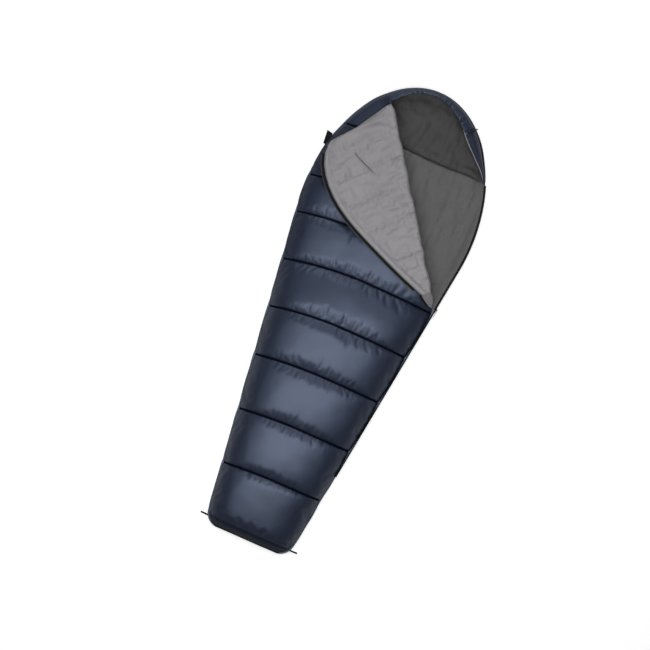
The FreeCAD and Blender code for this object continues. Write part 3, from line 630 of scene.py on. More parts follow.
def pucker(along, off, key, depth, reach):
    """Height of the short creases at a distance off a seam, at a place along it."""
    side = 2.17 if off > 0 else 0.0
    off = abs(off)
    if off > 4 * reach:
        return 0.0
    long = reach * (0.45 + 1.5 * abs(rough(along * 17, key + side, 4.2)))
    fold = rough(along * 41, key + side, off * 5) + 0.6 * rough(along * 83, key + 9.1, off * 8)
    return depth * fold * math.exp(-off / long) * min(1.0, off / 0.003)


PUFF_RISE = 0.009  # how much fuller a chamber is than a plain arch
GROOVE_DEPTH, GROOVE_REACH = 0.0075, 0.0032
CREASE, CREASE_AT_FOOT = (0.0032, 0.013), (0.0062, 0.017)  # depth and reach


def top_height(grid):
    """How far the quilt stands off the plain solid, and how much of that its edges allow."""
    wave = np.sin(math.pi * np.clip(chamber_share, 0, 1))
    rise = PUFF_RISE * (np.maximum(wave, 0) ** 0.5 - wave)
    rise[chamber_id >= 5] *= 0.5
    step = np.linalg.norm(np.diff(grid, axis=1), axis=2)
    run = np.concatenate([np.zeros((len(grid), 1)), np.cumsum(step, axis=1)], axis=1)
    body = smooth(run, 0.0, 0.08) * smooth(run[:, -1:] - run, 0.0, 0.08)
    height = rise[:, None] * body
    groove = -GROOVE_DEPTH * np.exp(-seam_distance(stations, seams[1:]) / GROOVE_REACH)
    height += groove[:, None] * (0.5 + 0.5 * body)
    for r in range(len(grid)):
        near = int(np.argmin(np.abs(stations[r] - np.array(seams))))
        off = stations[r] - seams[near]
        calm = 0.4 if chamber_id[r] < 0 else 1.0
        deep, reach = CREASE_AT_FOOT if near == 0 else CREASE
        for c in range(TOP_COLUMNS):
            x, y, _ = grid[r, c]
            middle = 0.35 + 0.65 * math.exp(-(((x - 0.02) / 0.17) ** 2))
            crease = pucker(x, off, near * 7.31, deep * middle, reach)
            lump = 0.003 * rough(x * 5, y * 6, 1.0) + 0.0014 * rough(x * 13, y * 15, 2.0)
            height[r, c] += calm * (crease + lump) * (0.25 + 0.75 * body[r, c])
    return height, body


SAG = (  # place along the bag, and how far the seam sags there
    (-1.1, 0.0),
    (-1.049, 0.004),
    (-0.801, 0.02),
    (-0.293, 0.028),
    (0.171, 0.05),
    (0.55, 0.03),
    (0.74, 0.0),
)


def sagged(grid):
    """The seams sag towards the foot at the bag's left side, where the quilt hangs over."""
    grid = grid.copy()
    for r in range(len(grid)):
        y = stations[r]
        half = np.interp(y, rim_line[:, 1], rim_line[:, 0])
        amount = np.interp(y, *zip(*SAG))
        out = np.clip(-grid[r, :, 0] / half, 0, 1)
        right = np.clip(grid[r, :, 0] / half, 0, 1)
        grid[r, :, 1] -= amount * (0.9 * out**1.7 + 0.15 * right**2)
        scale = np.interp(grid[r, :, 1], rim_line[:, 1], rim_line[:, 0]) / half
        grid[r, :, 0] *= np.where(out > 0, scale, 1.0)
    return grid


top_plain = sagged(top_plain)
top_normal = normals_of(top_plain)
if top_normal[150, TOP_COLUMNS // 2, 2] < 0:
    top_normal = -top_normal
height, top_body = top_height(top_plain)
start = top_plain + top_normal * height[:, :, None]
hold = np.zeros(start.shape[:2])
hold[:, 0] = hold[:, -1] = 1
hold[:, 1] = hold[:, -2] = 0.5
hold[seam_distance(stations, seams) < 0.0045] = 0.9
hold[seam_distance(stations, seams) < 1e-6] = 1
hold[chamber_id < 0] = 1
top_outer = inflate(start, hold, pressure=2.4, surplus=0.02, cap=0.0065)
print("puffs stand up to", round(float(height.max()), 4), "off the solid")

# %% [markdown]
# ### Close the top with its lining
# The inside of the quilt lies a wall's thickness below: thin at a seam, thick in the middle.

# %% Make the top
wall = 0.018 + 0.013 * np.sin(math.pi * np.clip(chamber_share, 0, 1)) * (chamber_id >= 0)
depth = wall[:, None] * (0.5 + 0.5 * top_body)
top_inner = top_plain - top_normal * depth[:, :, None]
top_inner[:, :, 2] = np.maximum(top_inner[:, :, 2], seam_height + 0.0005)
# Inside, the top takes the darker copy of the lining, which is painted shade.
top = pad("Top_Quilt", top_outer, top_inner, [navy, lining_painted_shade, navy_painted_shade, navy_foot_painted_shade])
# Navy faces on a seam's line take the near-black navy, the thread line with painted shade; those
# below the foot's seam take the darker foot copy, painted shade of the foot's end.
SEAM_SHADE_BAND, FOOT_SHADE_MARGIN = 0.003, 0.004
seam_lines = [top_outer[row] for row in seam_rows[1:9]]
for face in top.data.polygons:
    if face.material_index == 0:
        x, y = face.center.x, face.center.y
        near = min(seam_lines, key=lambda line: abs(line[TOP_COLUMNS // 2][1] - y))
        order = np.argsort(near[:, 0])
        if abs(y - np.interp(x, near[order, 0], near[order, 1])) < SEAM_SHADE_BAND:
            face.material_index = 2
        elif y < seams[0] - FOOT_SHADE_MARGIN:
            face.material_index = 3
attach(top, "bag")
top_fillings = [f"top_filling_{n}" for n in range(1, 9)]
foot_nodes = ["foot_shell", "foot_filling", "foot_lining", "foot_panel"]
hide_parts("top_shell", "top_lining", *top_fillings, *foot_nodes)
print("top made,", len(top.data.polygons), "faces")

# %% [markdown]
# ## The underside and the inner back
# Under the sleeper the quilt is one flat tray with a rounded edge. Its upper face is the grey
# lining that shows where the bag is open, in darker copies of the lining that are painted shade,
# darkest beyond the neck inside the hood. The distance to the bag's outline gives the rounding, so
# the same rule serves the straight sides, the foot's corners and the crown.

# %% Lay the base's grid
BASE_ROWS = 320
BASE_COLUMNS = 128
BASE_ROUND = 0.033


base_y = np.linspace(y_foot, y_crown, BASE_ROWS - 20)
ends = y_foot + np.array([0.0008, 0.002, 0.004, 0.006, 0.0085, 0.011, 0.014, 0.018, 0.022, 0.03])
off_neck = base_y - y_neck - 0.01
base_y = base_y - 0.006 * np.sin(off_neck * 60) * np.exp(-((off_neck / 0.05) ** 2))
base_y = np.sort(np.concatenate([base_y[1:-1], ends, y_foot + y_crown - ends]))
seam_edges = y_neck + np.array([-0.007, -0.0045, -0.002, 0.0, 0.002, 0.0045, 0.007])
base_y = base_y[np.abs(base_y - y_neck) > 0.0085]
base_y = np.sort(np.concatenate([base_y, seam_edges]))
base_half = np.interp(base_y, rim_line[:, 1], rim_line[:, 0])
across = np.sin(np.linspace(-math.pi / 2, math.pi / 2, BASE_COLUMNS) * 0.86) / math.sin(
    math.pi / 2 * 0.86
)
plan = np.zeros((len(base_y), BASE_COLUMNS, 3))
plan[:, :, 0] = base_half[:, None] * across[None, :]
plan[:, :, 1] = base_y[:, None]
both_sides = np.concatenate([rim_line, rim_line * (-1, 1, 1)])[:, :2]
flat = plan[:, :, :2].reshape(-1, 2)
gap = np.array([np.min(np.linalg.norm(both_sides - p, axis=1)) for p in flat])
gap = gap.reshape(plan.shape[:2])
gap[:, 0] = gap[:, -1] = 0

# %% Shape the base


def seam_drift(x, y):
    """The neck seam isn't quite straight: how far it wanders along the bag."""
    return 0.011 * rough(x * 5, 55.0) * math.exp(-(((y - y_neck) / 0.06) ** 2))


under = plan.copy()
curl = np.clip(BASE_ROUND - gap, 0, BASE_ROUND)
under[:, :, 2] = BASE_ROUND - np.sqrt(BASE_ROUND**2 - curl**2) + 0.0003
puff_y = np.abs(np.sin(math.pi * np.interp(base_y, seams + [y_crown], range(10))))
side_puff = 0.0045 * (np.sqrt(puff_y) - 0.35)
side_lift = smooth(BASE_ROUND - gap, 0.0, BASE_ROUND)
under[:, :, 0] += np.sign(plan[:, :, 0]) * side_puff[:, None] * side_lift
lining = plan.copy()
lining[:, :, 2] = seam_height - 0.0015
for r, y in enumerate(base_y):
    for c in range(BASE_COLUMNS):
        x = plan[r, c, 0]
        room = smooth(gap[r, c], 0.004, 0.07)
        neck = y - y_neck
        bend = 0.03 * rough(x * 3, y * 2, 9.0)
        wave = 0.006 * rough(x * 4, y * 3, 6.0) + 0.013 * rough((x + bend) * 15, y * 4, 7.0)
        wave += 0.009 * rough((x + bend) * 32, y * 7, 8.0)
        wave += 0.0025 * rough((x + bend) * 75, y * 24, 8.2)
        if neck > 0:
            wave += 0.011 * rough(x * 9, y * 19 + x * 8, 8.5) + 0.005 * rough(x * 30, y * 34, 8.7)
        strip = 1 - abs(neck - 0.021) / 0.024
        if strip > 0:
            wave += (0.006 + 0.008 * rough(x * 30, 31.0, y * 3)) * math.sqrt(strip)
        wave += 0.008 * rough(x * 27, 33.0, y * 2) * math.exp(-abs(neck - 0.02) / 0.035)
        wave -= 0.013 * math.exp(-abs(neck) / 0.003)
        wave -= 0.007 * math.exp(-abs(neck - 0.042) / 0.004)
        for line in (0.382, 0.55, 0.171):
            wave -= 0.0022 * math.exp(-abs(y - line) / 0.006)
        lining[r, c, 2] += room * (0.007 + wave)
        lining[r, c, 1] += seam_drift(x, y)
        under[r, c, 0] += 0.002 * rough(y * 14, x * 3, 3.0) * side_lift[r, c]
base_finishes = [lining_painted_shade, navy, navy, hood_floor, thread, black_tape]
base = pad("Base_Quilt", lining, under, base_finishes)
for face in base.data.polygons:
    middle = face.center
    half = np.interp(middle.y, rim_line[:, 1], rim_line[:, 0])
    if face.material_index == 0 and abs(middle.x) > half - 0.007:
        face.material_index = 5 if middle.x > 0 and middle.y > y_v else 2
    # The neck seam's faces take the dark thread finish: the seam's thread and painted shade.
    elif face.material_index == 0 and abs(middle.y - seam_drift(middle.x, y_neck) - y_neck) < 0.002:
        face.material_index = 4
    # Beyond the neck the lining takes its darkest copy: painted shade inside the hood.
    elif face.material_index == 0 and middle.y - seam_drift(middle.x, y_neck) > y_neck:
        face.material_index = 3
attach(base, "bag")
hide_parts("base_shell", "base_filling", "base_lining", "hood_floor_lining")
print("base made,", len(base.data.polygons), "faces")

# %% [markdown]
# ## The hood
# A padded collar stands up round the head. Seen in a plane through the middle of the neck it is an
# arch that is cut off at the rim, so its grid turns round that point. The draw cord runs in a
# tunnel along the rim and gathers the cloth there into small scallops.

# %% Lay the hood's grid
HOOD_ROWS = 230
HOOD_COLUMNS = 26


def hood_line(direction):
    """Points over the hood in one upright plane, from the bag's seam to the rim."""
    flat = Vector((math.cos(direction), math.sin(direction), 0))
    middle = Vector((0, y_neck + 0.0004, seam_height + 0.0005))

    def touch(angle):
        out = flat * math.cos(angle) + Vector((0, 0, math.sin(angle)))
        hit = hood_tree.ray_cast(middle + out * 0.5, -out)[0]
        if hit is None or (hit - middle).dot(flat) < 0.05 * math.cos(angle):
            return None
        return hit

    low, high = 0.01, 1.4
    for _ in range(16):
        half = (low + high) / 2
        if touch(half) is not None:
            low = half
        else:
            high = half
    points = [touch(angle) for angle in np.linspace(0.003, low, 44)]
    return evenly([p for p in points if p is not None], HOOD_COLUMNS)


directions = np.linspace(math.radians(0.3), math.radians(179.6), HOOD_ROWS)
hood_plain = np.array([hood_line(direction) for direction in directions])
hood_normal = normals_of(hood_plain)
if hood_normal[HOOD_ROWS // 2, HOOD_COLUMNS // 2, 2] < 0:
    hood_normal = -hood_normal
print("hood grid", hood_plain.shape)

# %% Shape the hood
TUNNEL = 0.017
step = np.linalg.norm(np.diff(hood_plain, axis=1), axis=2)
run = np.concatenate([np.zeros((HOOD_ROWS, 1)), np.cumsum(step, axis=1)], axis=1)
to_rim = run[:, -1:] - run
rim_step = np.linalg.norm(np.diff(hood_plain[:, -1], axis=0), axis=1)
rim_run = np.concatenate([[0], np.cumsum(rim_step)])
swell = np.zeros(run.shape)
gather = np.array([rough(s * 42, 12.0) + 0.5 * rough(s * 90, 14.0) for s in rim_run])
for r in range(HOOD_ROWS):
    strength = float(smooth(directions[r], 0.3, 0.8) * (1 - smooth(directions[r], 2.3, 2.6)))
    for c in range(HOOD_COLUMNS):
        d = to_rim[r, c]
        x, y, _ = hood_plain[r, c]
        lift = 0.004 * math.sin(math.pi * min(1.0, run[r, c] / max(run[r, -1], 1e-6)))
        lift += 0.0025 * math.exp(-(((d - TUNNEL * 0.45) / 0.007) ** 2))
        lift -= 0.0028 * math.exp(-(((d - TUNNEL) / 0.0035) ** 2))
        lift += 0.0028 * rough(x * 7, y * 7, 5.0) + 0.0012 * rough(x * 18, y * 18, 5.5)
        lift += (0.0012 + 0.0034 * strength) * gather[r] * math.exp(-d / 0.03)
        swell[r, c] = lift
hood_outer = hood_plain + hood_normal * swell[:, :, None]
inwards = hood_plain[:, -1] - hood_plain[:, -2]
inwards /= np.maximum(np.linalg.norm(inwards, axis=1, keepdims=True), 1e-9)
overhang = 0.014 + 0.018 * np.exp(-(((directions - 0.55) / 0.4) ** 2))
overhang *= smooth(directions, 0.02, 0.25) * (1 - smooth(directions, 2.3, 2.6))
pull = np.clip(1 - to_rim / 0.06, 0, 1) ** 1.2
hood_outer += inwards[:, None, :] * (overhang[:, None] * pull)[:, :, None]
rim_move = 0.009 * gather * smooth(directions, 0.3, 0.8)
fade = np.exp(-to_rim / 0.02)
hood_outer += inwards[:, None, :] * (rim_move[:, None] * fade)[:, :, None]
wall = (0.006 + 0.014 * smooth(to_rim, 0.0, 0.04)) * (0.4 + 0.6 * smooth(run, 0.0, 0.03))
hood_inner = hood_outer - hood_normal * wall[:, :, None]
hood_inner[:, :, 2] = np.maximum(hood_inner[:, :, 2], seam_height + 0.0008)
# The hood's inside takes the darker copy of the lining: painted shade.
hood = pad("Hood_Quilt", hood_outer, hood_inner, [navy, lining_painted_shade, navy])
refine(hood)
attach(hood, "bag")
hood_nodes = ("hood_shell", "hood_filling", "hood_lining", "hood_tunnel", "hood_cord")
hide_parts(*hood_nodes)
print("hood made,", len(hood.data.polygons), "faces")

# %% [markdown]
# ### The piping on the hood
# A thin round cord is sewn into the rim beside the zip, so that the edge keeps its line there.

# %% Make the piping
last = int(np.argmin(np.abs(directions - math.radians(48))))
piping_path = hood_outer[: last : 3, -1] + np.array([0, 0, 0.0008])
taper = np.minimum(1.0, np.linspace(0, 6, len(piping_path)) + 0.3)
taper = np.minimum(taper, taper[::-1])
piping = tube("Hood_Piping", piping_path, 0.0021 * taper, grey_pad, sides=8)
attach(piping, "bag")
print("piping made,", len(piping_path), "sections")

# %% [markdown]
# ## The flap
# The top is folded back over itself, so its lining faces up. The flap has a frame of its own: one
# way along the fold, one way from the fold to the zip, and one way off the cloth. Its rows follow
# the quilt seams, which run slightly aslant to the fold.

# %% The flap's own frame
FLAP_SLOPE = math.radians(2.5)
FLAP_TOP = 0.0183
FOLD_EDGE = 0.003
SLANT = 0.178
QUILT_LINES = (0.172, 0.349, 0.478, 0.606, 0.720)  # measured from the fold's lower end
flap_out = fold_left * math.cos(FLAP_SLOPE) - Vector((0, 0, math.sin(FLAP_SLOPE)))
flap_up = fold_left * math.sin(FLAP_SLOPE) + Vector((0, 0, math.cos(FLAP_SLOPE)))


def flap_point(s, d, h):
    return fold_low + fold_along * s + flap_out * d + flap_up * h


def flap_width(q):
    """How far the flap reaches from the fold, on the slanting row that starts at q."""
    low, high = FOLD_EDGE + 0.0005, 0.42
    for _ in range(18):
        middle = (low + high) / 2
        start = flap_point(q - SLANT * middle, middle, 0.2)
        if flap_tree.ray_cast(start, -flap_up, 0.2)[0] is not None:
            low = middle
        else:
            high = middle
    return low


# %% Lay the flap's grid
FLAP_COLUMNS = 70
FACE_CORNER, FACE_TOP = (0.802, 0.2), (0.8525, 0.012)  # the edge that frames the face
flap_corners = [(v.co - fold_low) for v in nodes["flap_lining"].data.vertices]
q_all = [v.dot(fold_along) + SLANT * v.dot(flap_out) for v in flap_corners]
q_low, q_high = min(q_all) + 0.0065, max(q_all) - 0.0015
marks = [q_low, *QUILT_LINES, q_high]
flap_q = []
for first, second in zip(marks, marks[1:]):
    count = max(4, round((second - first) / 0.0066))
    flap_q += [first + (second - first) * k / count for k in range(count)]
flap_q = np.array(flap_q + [q_high])
flap_reach = np.array([flap_width(q) for q in flap_q])
face_edge = flap_q > FACE_CORNER[0]
flap_reach[face_edge] = np.minimum(
    flap_reach[face_edge], np.interp(flap_q[face_edge], *zip(FACE_CORNER, FACE_TOP))
)
share = np.linspace(0, 1, FLAP_COLUMNS)
flap_d = FOLD_EDGE + (flap_reach - FOLD_EDGE)[:, None] * share[None, :]
flap_s = flap_q[:, None] - SLANT * flap_d
to_zip = flap_reach[:, None] - flap_d
off_quilt = seam_distance(flap_q, QUILT_LINES)[:, None] + 0 * flap_d
print("flap grid", flap_d.shape, "widest", round(float(flap_reach.max()), 3))

# %% [markdown]
# ### Shape the flap
# The facing behind the zip is a narrow padded band. Next to the fold the lining is slack and falls
# into crumples that point away from the fold.

# %% Heights of the flap
FACING = 0.028
POCKET_MOUTH = 0.118
pocket_turn = math.radians(32)
mouth_along = np.array([math.cos(pocket_turn), math.sin(pocket_turn)])
mouth_down = np.array([mouth_along[1], -mouth_along[0]])
pocket_points = [v.co - fold_low for v in nodes["flap_pocket"].data.vertices]
pocket_sd = np.array([(v.dot(fold_along), v.dot(flap_out)) for v in pocket_points])
mouth_start = pocket_sd[np.argmin(pocket_sd @ mouth_along + pocket_sd @ mouth_down)]


def pocket_height(s, d):
    """The pocket's mouth stands up a little; its sewn side is a thin groove."""
    spot = np.array([s, d]) - mouth_start
    along, down = float(spot @ mouth_along), float(spot @ mouth_down)
    height = 0.0
    if -0.004 < along < POCKET_MOUTH + 0.004:
        height += 0.0045 * math.exp(-(((down - 0.005) / 0.005) ** 2))
        height -= 0.009 * math.exp(-(((down + 0.003) / 0.004) ** 2))
    if 0 < down < 0.09:
        height -= 0.0045 * math.exp(-((along / 0.004) ** 2)) * (1 - down / 0.1)
    return height


flap_height = np.zeros(flap_d.shape)
for r in range(len(flap_q)):
    near = int(np.argmin(np.abs(flap_q[r] - np.array(QUILT_LINES))))
    off = flap_q[r] - QUILT_LINES[near]
    for c in range(FLAP_COLUMNS):
        s, d, z = flap_s[r, c], flap_d[r, c], to_zip[r, c]
        body = float(smooth(d, 0.0, 0.05) * smooth(z, FACING, FACING + 0.03))
        h = 0.0035 * (math.sqrt(min(1.0, abs(off) / 0.04)) - 1) * (0.35 + 0.65 * body)
        h -= 0.006 * math.exp(-abs(off) / 0.0035) * float(smooth(z, FACING, FACING + 0.01))
        h += pucker(d, off, 40 + near, 0.011, 0.026) * smooth(z, FACING, FACING + 0.01)
        slack = math.exp(-d / 0.08)
        h += slack * 0.0125 * rough(s * 21, d * 7 - s * 9, 21.0)
        h += slack * 0.006 * rough(s * 55, d * 15, 22.0)
        lean = s * 0.8 + d * 0.6
        h += 0.007 * rough(lean * 7, d * 12, 23.0) * body
        high_up = float(smooth(s, 0.45, 0.75))
        h += (0.0035 + 0.006 * high_up) * rough(s * 30 + d * 8, d * 7 - s * 4, 24.0) * body
        h += 0.0012 * rough(s * 60, d * 40, 26.0) * body
        near_band = math.exp(-max(0.0, z - FACING) / 0.025)
        if z > FACING:
            h += near_band * 0.011 * rough(flap_q[r] * 34, 5.0, z * 9)
        band = min(1.0, z / FACING)
        if z < FACING:
            h += 0.0030 * math.sin(math.pi * band)
        h -= 0.006 * math.exp(-abs(z - FACING) / 0.0035)
        h += pocket_height(s, d)
        flap_height[r, c] = h
ends = np.minimum(flap_q - flap_q[0], flap_q[-1] - flap_q)
round_off = np.sqrt(np.clip(1 - np.clip(1 - to_zip / 0.009, 0, 1) ** 2, 0, 1))
round_end = np.sqrt(np.clip(1 - np.clip(1 - ends / 0.012, 0, 1) ** 2, 0, 1))[:, None]
full = FLAP_TOP + 0.001 + flap_height
top_h = 0.0085 + (full - 0.0085) * np.minimum(round_off, round_end)
low_h = 0.0085 - 0.0078 * np.minimum(round_off, round_end)
low_h += 0.0062 * np.exp(-off_quilt / 0.007) * np.minimum(round_off, round_end)


def flap_grid(heights, s_values=flap_s, d_values=flap_d):
    axes = [np.array(v) for v in (fold_low, fold_along, flap_out, flap_up)]
    origin, along, out, up = axes
    return (
        origin
        + s_values[:, :, None] * along
        + d_values[:, :, None] * out
        + heights[:, :, None] * up
    )


fold_wave = np.array([0.006 * rough(s * 12, 61.0) + 0.003 * rough(s * 31, 63.0) for s in flap_q])
fold_fade = np.exp(-(flap_d - FOLD_EDGE) / 0.03)
moved_d = flap_d + np.minimum(fold_wave, 0.004)[:, None] * fold_fade
flap_start = flap_grid(top_h, flap_s, moved_d)
hold = np.zeros(flap_d.shape)
hold[0] = hold[-1] = 1
hold[:, 0] = hold[:, -1] = 1
hold[off_quilt < 1e-6] = 0.8
hold[to_zip < FACING] = 1
hold[(to_zip < FACING + 0.006) & (to_zip >= FACING)] = 0.7
flap_outer = inflate(flap_start, hold, pressure=1.2, surplus=0.02, cap=0.006)
flap_inner = flap_grid(low_h, flap_s, moved_d)
# The flap's edge strip takes the near-black navy, which is painted shade.
flap = pad("Flap_Quilt", flap_outer, flap_inner, [grey, navy, navy_painted_shade])
refine(flap)
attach(flap, "flap")
flap_nodes = ("flap_shell", "flap_filling", "flap_lining", "flap_facing", "flap_pocket")
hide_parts(*flap_nodes)
print("flap made,", len(flap.data.polygons), "faces")

# %% [markdown]
# ## The fold
# Where the top turns back on itself the quilt makes a soft roll.

# %% Make the fold's roll
ROLL_COLUMNS = 18
ROLL_LOW, ROLL_THICK = -0.034, 0.0045
top_line_h = top_h[:, 0]
roll_outer = np.zeros((len(flap_q), ROLL_COLUMNS, 3))
roll_inner = np.zeros_like(roll_outer)
for r, q in enumerate(flap_q):
    start_d = float(moved_d[r, 0]) + 0.002
    high = float(top_line_h[r]) - 0.0015
    end = float(smooth(ends[r], 0.0, 0.03))
    centre, tall = (high + ROLL_LOW) / 2, (high - ROLL_LOW) / 2
    belly = 0.011 * (0.45 + 0.55 * end) + 0.004 * rough(q * 14, 71.0)
    for c, angle in enumerate(np.linspace(math.pi / 2, -math.pi / 2, ROLL_COLUMNS)):
        crumple = 0.0016 * rough(q * 45, angle * 1.4, 72.0) * math.cos(angle)
        for grid, shrink in ((roll_outer, 0.0), (roll_inner, ROLL_THICK)):
            out = (belly - shrink + crumple) * math.cos(angle)
            h = centre + (tall - shrink * 0.5) * math.sin(angle)
            spot = flap_point(q - SLANT * start_d, start_d - out, h)
            grid[r, c] = spot
roll = pad("Fold_Roll", roll_outer, roll_inner, [grey, navy, navy])
refine(roll)
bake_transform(roll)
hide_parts("fold_web")
print("fold roll made,", len(roll.data.polygons), "faces")

# %% [markdown]
# ## The corner of the opening
# Below the fold the slack cloth runs down to the slider, where both halves of the zip meet. It
# hangs between the bag and the flap.

# %% Make the corner
CORNER_ROWS, CORNER_COLUMNS = 22, 12
tip = (slider_low + slider_high) / 2
tip = Vector((tip.x - 0.021, tip.y - 0.004, seam_height + 0.004))
corner_left = Vector(flap_outer[2, -1])
corner_right = Vector(roll_outer[2, ROLL_COLUMNS // 3])
corner_top = np.zeros((CORNER_ROWS, CORNER_COLUMNS, 3))
corner_low = np.zeros_like(corner_top)
for r in range(CORNER_ROWS):
    t = r / (CORNER_ROWS - 1)
    left = tip.lerp(corner_left, t) + Vector((-0.004, -0.002, 0.01)) * math.sin(math.pi * t)
    right = tip.lerp(corner_right, t) + Vector((0.007, 0.004, 0.006)) * math.sin(math.pi * t)
    for c in range(CORNER_COLUMNS):
        u = c / (CORNER_COLUMNS - 1)
        spot = left.lerp(right, u)
        puff = (0.004 + 0.009 * t) * math.sin(math.pi * u)
        puff += 0.0035 * rough(t * 5, u * 3, 81.0) * math.sin(math.pi * u) * t
        corner_top[r, c] = spot + Vector((0, 0, puff))
        corner_low[r, c] = spot - Vector((0, 0, 0.004 + 0.010 * t))
corner = pad("Opening_Corner", corner_top, corner_low, [grey, navy, grey_pad])
refine(corner)
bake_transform(corner)
band_path = evenly([corner_top[r, 0] + (-0.002, -0.001, -0.002) for r in range(CORNER_ROWS)], 16)
band = tube("Corner_Zip_Band", band_path, [0.0042] * 16, black_tape, sides=10)
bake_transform(band)
print("corner made")

# %% [markdown]
# ## Zip, loops, label and lock
# These are small and their solids already have the right shape, so they keep it and get their real
# finishes.

# %% Finish the small parts
finishes = {
    "zip_tape_lower": black_tape,
    "zip_tape_upper": black_tape,
    "flap_zip_tape": black_tape,
    "zip_coil_lower": zip_nylon,
    "zip_coil_upper": zip_nylon,
    "flap_zip_coil": zip_nylon,
    "zip_bottom_stop": zip_metal,
    "zip_slider": zip_metal,
    "slider_pull": zip_metal,
    "cord_lock_body": lock_plastic,
    "cord_lock_button": lock_plastic,
}
for name, finish in finishes.items():
    nodes[name].data.materials.clear()
    nodes[name].data.materials.append(finish)
print(len(finishes), "nodes finished")

# %% [markdown]
# ### The draft tube and the pocket's mouth
# Behind the closed zip hangs a padded tube that keeps the wind out. The pocket on the flap opens
# along a slanting hem, and a thin dark tube under that hem is painted shadow.

# %% Make the draft tube
tube_points = [v.co.copy() for v in nodes["zip_draft_tube"].data.vertices]
tube_points.sort(key=lambda v: v.y)
rim_count = max(6, len(tube_points) // 4)
tube_parts = (tube_points[:rim_count], tube_points[-rim_count:])
tube_ends = [sum(part, Vector()) / rim_count for part in tube_parts]
low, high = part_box("zip_draft_tube")
tube_radius = (high.z - low.z) / 2 - 0.0004
tube_path, tube_radii = [], []
for share in np.linspace(0, 1, 150):
    spot = tube_ends[0].lerp(tube_ends[1], share)
    closing = math.sqrt(1 - max(0.0, abs(2 * share - 1) - 0.98) ** 2 / 0.0004 * 0.9)
    wrinkle = 1 + 0.05 * rough(share * 70, 91.0) - 0.05
    tube_path.append(spot)
    tube_radii.append(tube_radius * closing * wrinkle)
# The draft tube takes the darker copy of the lining: painted shade.
draft = tube("Draft_Tube", tube_path, tube_radii, lining_painted_shade, sides=20)
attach(draft, "bag")
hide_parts("zip_draft_tube")
print("draft tube made, radius", round(tube_radius, 4))

# %% Make the pocket's mouth
flap_faces = [list(p.vertices) for p in flap.data.polygons]
flap_skin = BVHTree.FromPolygons([v.co.copy() for v in flap.data.vertices], flap_faces)


def on_flap(s, d):
    """The flap's upper surface at a place along and off the fold."""
    start = flap_point(s, d, 0.1)
    hit = flap_skin.ray_cast(start, -flap_up, 0.2)[0]
    return hit if hit is not None else flap_point(s, d, FLAP_TOP)


mouth_path, slit_shadow_path = [], []
for share in np.linspace(0, 1, 40):
    spot = mouth_start + mouth_along * POCKET_MOUTH * share
    hem = spot + mouth_down * 0.003
    mouth_path.append(on_flap(*hem) + flap_up * 0.0004)
    slit_shadow_path.append(on_flap(*(spot - mouth_down * 0.0008)) + flap_up * 0.0002)
ease = np.sin(np.linspace(0.12, math.pi - 0.12, 40)) ** 0.35
hem = tube("Pocket_Hem", mouth_path, 0.0022 * ease, grey_pad, sides=10)
# A thin dark tube in the slit: painted shadow under the hem.
slit_painted_shadow = tube("Pocket_Slit_Painted_Shadow", slit_shadow_path, 0.0014 * ease, hood_floor, sides=8)
for piece in (hem, slit_painted_shadow):
    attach(piece, "flap")
print("pocket's mouth made")

# %% [markdown]
# ## Hanging loops and the side label
# Both are short pieces of woven tape, folded double and caught in the side seam. A strip is drawn
# as a row of edges, extruded to its width and thickened with a Solidify modifier.

# %% Strips of tape


def tape_strip(name, path, width, thick, finish):
    """A strip of tape: its path is a row of vertices, and width the way it is extruded."""
    bpy.ops.object.select_all(action="DESELECT")
    bpy.ops.mesh.primitive_plane_add(size=0.01)
    strip = bpy.context.object
    strip.name = name
    bpy.ops.object.mode_set(mode="EDIT")
    bpy.ops.mesh.delete(type="VERT")
    bpy.ops.object.mode_set(mode="OBJECT")
    strip.data.vertices.add(len(path))
    for vertex, place in zip(strip.data.vertices, path):
        vertex.co = place
    strip.data.edges.add(len(path) - 1)
    for n, edge in enumerate(strip.data.edges):
        edge.vertices = (n, n + 1)
    bpy.ops.object.mode_set(mode="EDIT")
    bpy.ops.mesh.select_all(action="SELECT")
    bpy.ops.mesh.extrude_region_move(TRANSFORM_OT_translate={"value": tuple(width)})
    bpy.ops.object.mode_set(mode="OBJECT")
    solidify = strip.modifiers.new("Solidify", "SOLIDIFY")
    solidify.thickness = thick
    solidify.offset = 0
    bpy.ops.object.modifier_apply(modifier=solidify.name)
    bevel = strip.modifiers.new("Bevel", "BEVEL")
    bevel.width = thick * 0.3
    bevel.segments = 2
    bevel.limit_method = "ANGLE"
    bpy.ops.object.modifier_apply(modifier=bevel.name)
    bpy.ops.object.shade_smooth_by_angle(angle=0.7)
    strip.data.materials.clear()
    strip.data.materials.append(finish)
    return strip


# %% Make the loops
LOOP_WIDTH = 0.0075
for side, hand in (("left", -1), ("right", 1)):
    low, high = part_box(f"hang_loop_{side}")
    far = max(abs(low.x), abs(high.x))
    near = min(abs(low.x), abs(high.x)) - 0.004
    y = (low.y + high.y - LOOP_WIDTH) / 2
    z = seam_height - 0.005
    radius = 0.0021
    path = []
    for share in np.linspace(0, 1, 10):
        droop = -0.008 * share**2
        path.append(Vector((hand * (near + (far - near - radius) * share), y, z + radius + droop)))
    for angle in np.linspace(math.pi / 2, -math.pi / 2, 9)[1:]:
        out = far - radius + radius * math.cos(angle)
        path.append(Vector((hand * out, y, z - 0.008 + radius * math.sin(angle))))
    path += [p - Vector((0, 0, 2 * radius)) for p in path[:9][::-1]]
    loop = tape_strip(f"Hang_Loop_{side.title()}", path, (0, LOOP_WIDTH, 0), 0.0014, black_tape)
    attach(loop, "bag")
    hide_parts(f"hang_loop_{side}")
    print(loop.name, "reaches", round(far, 3))

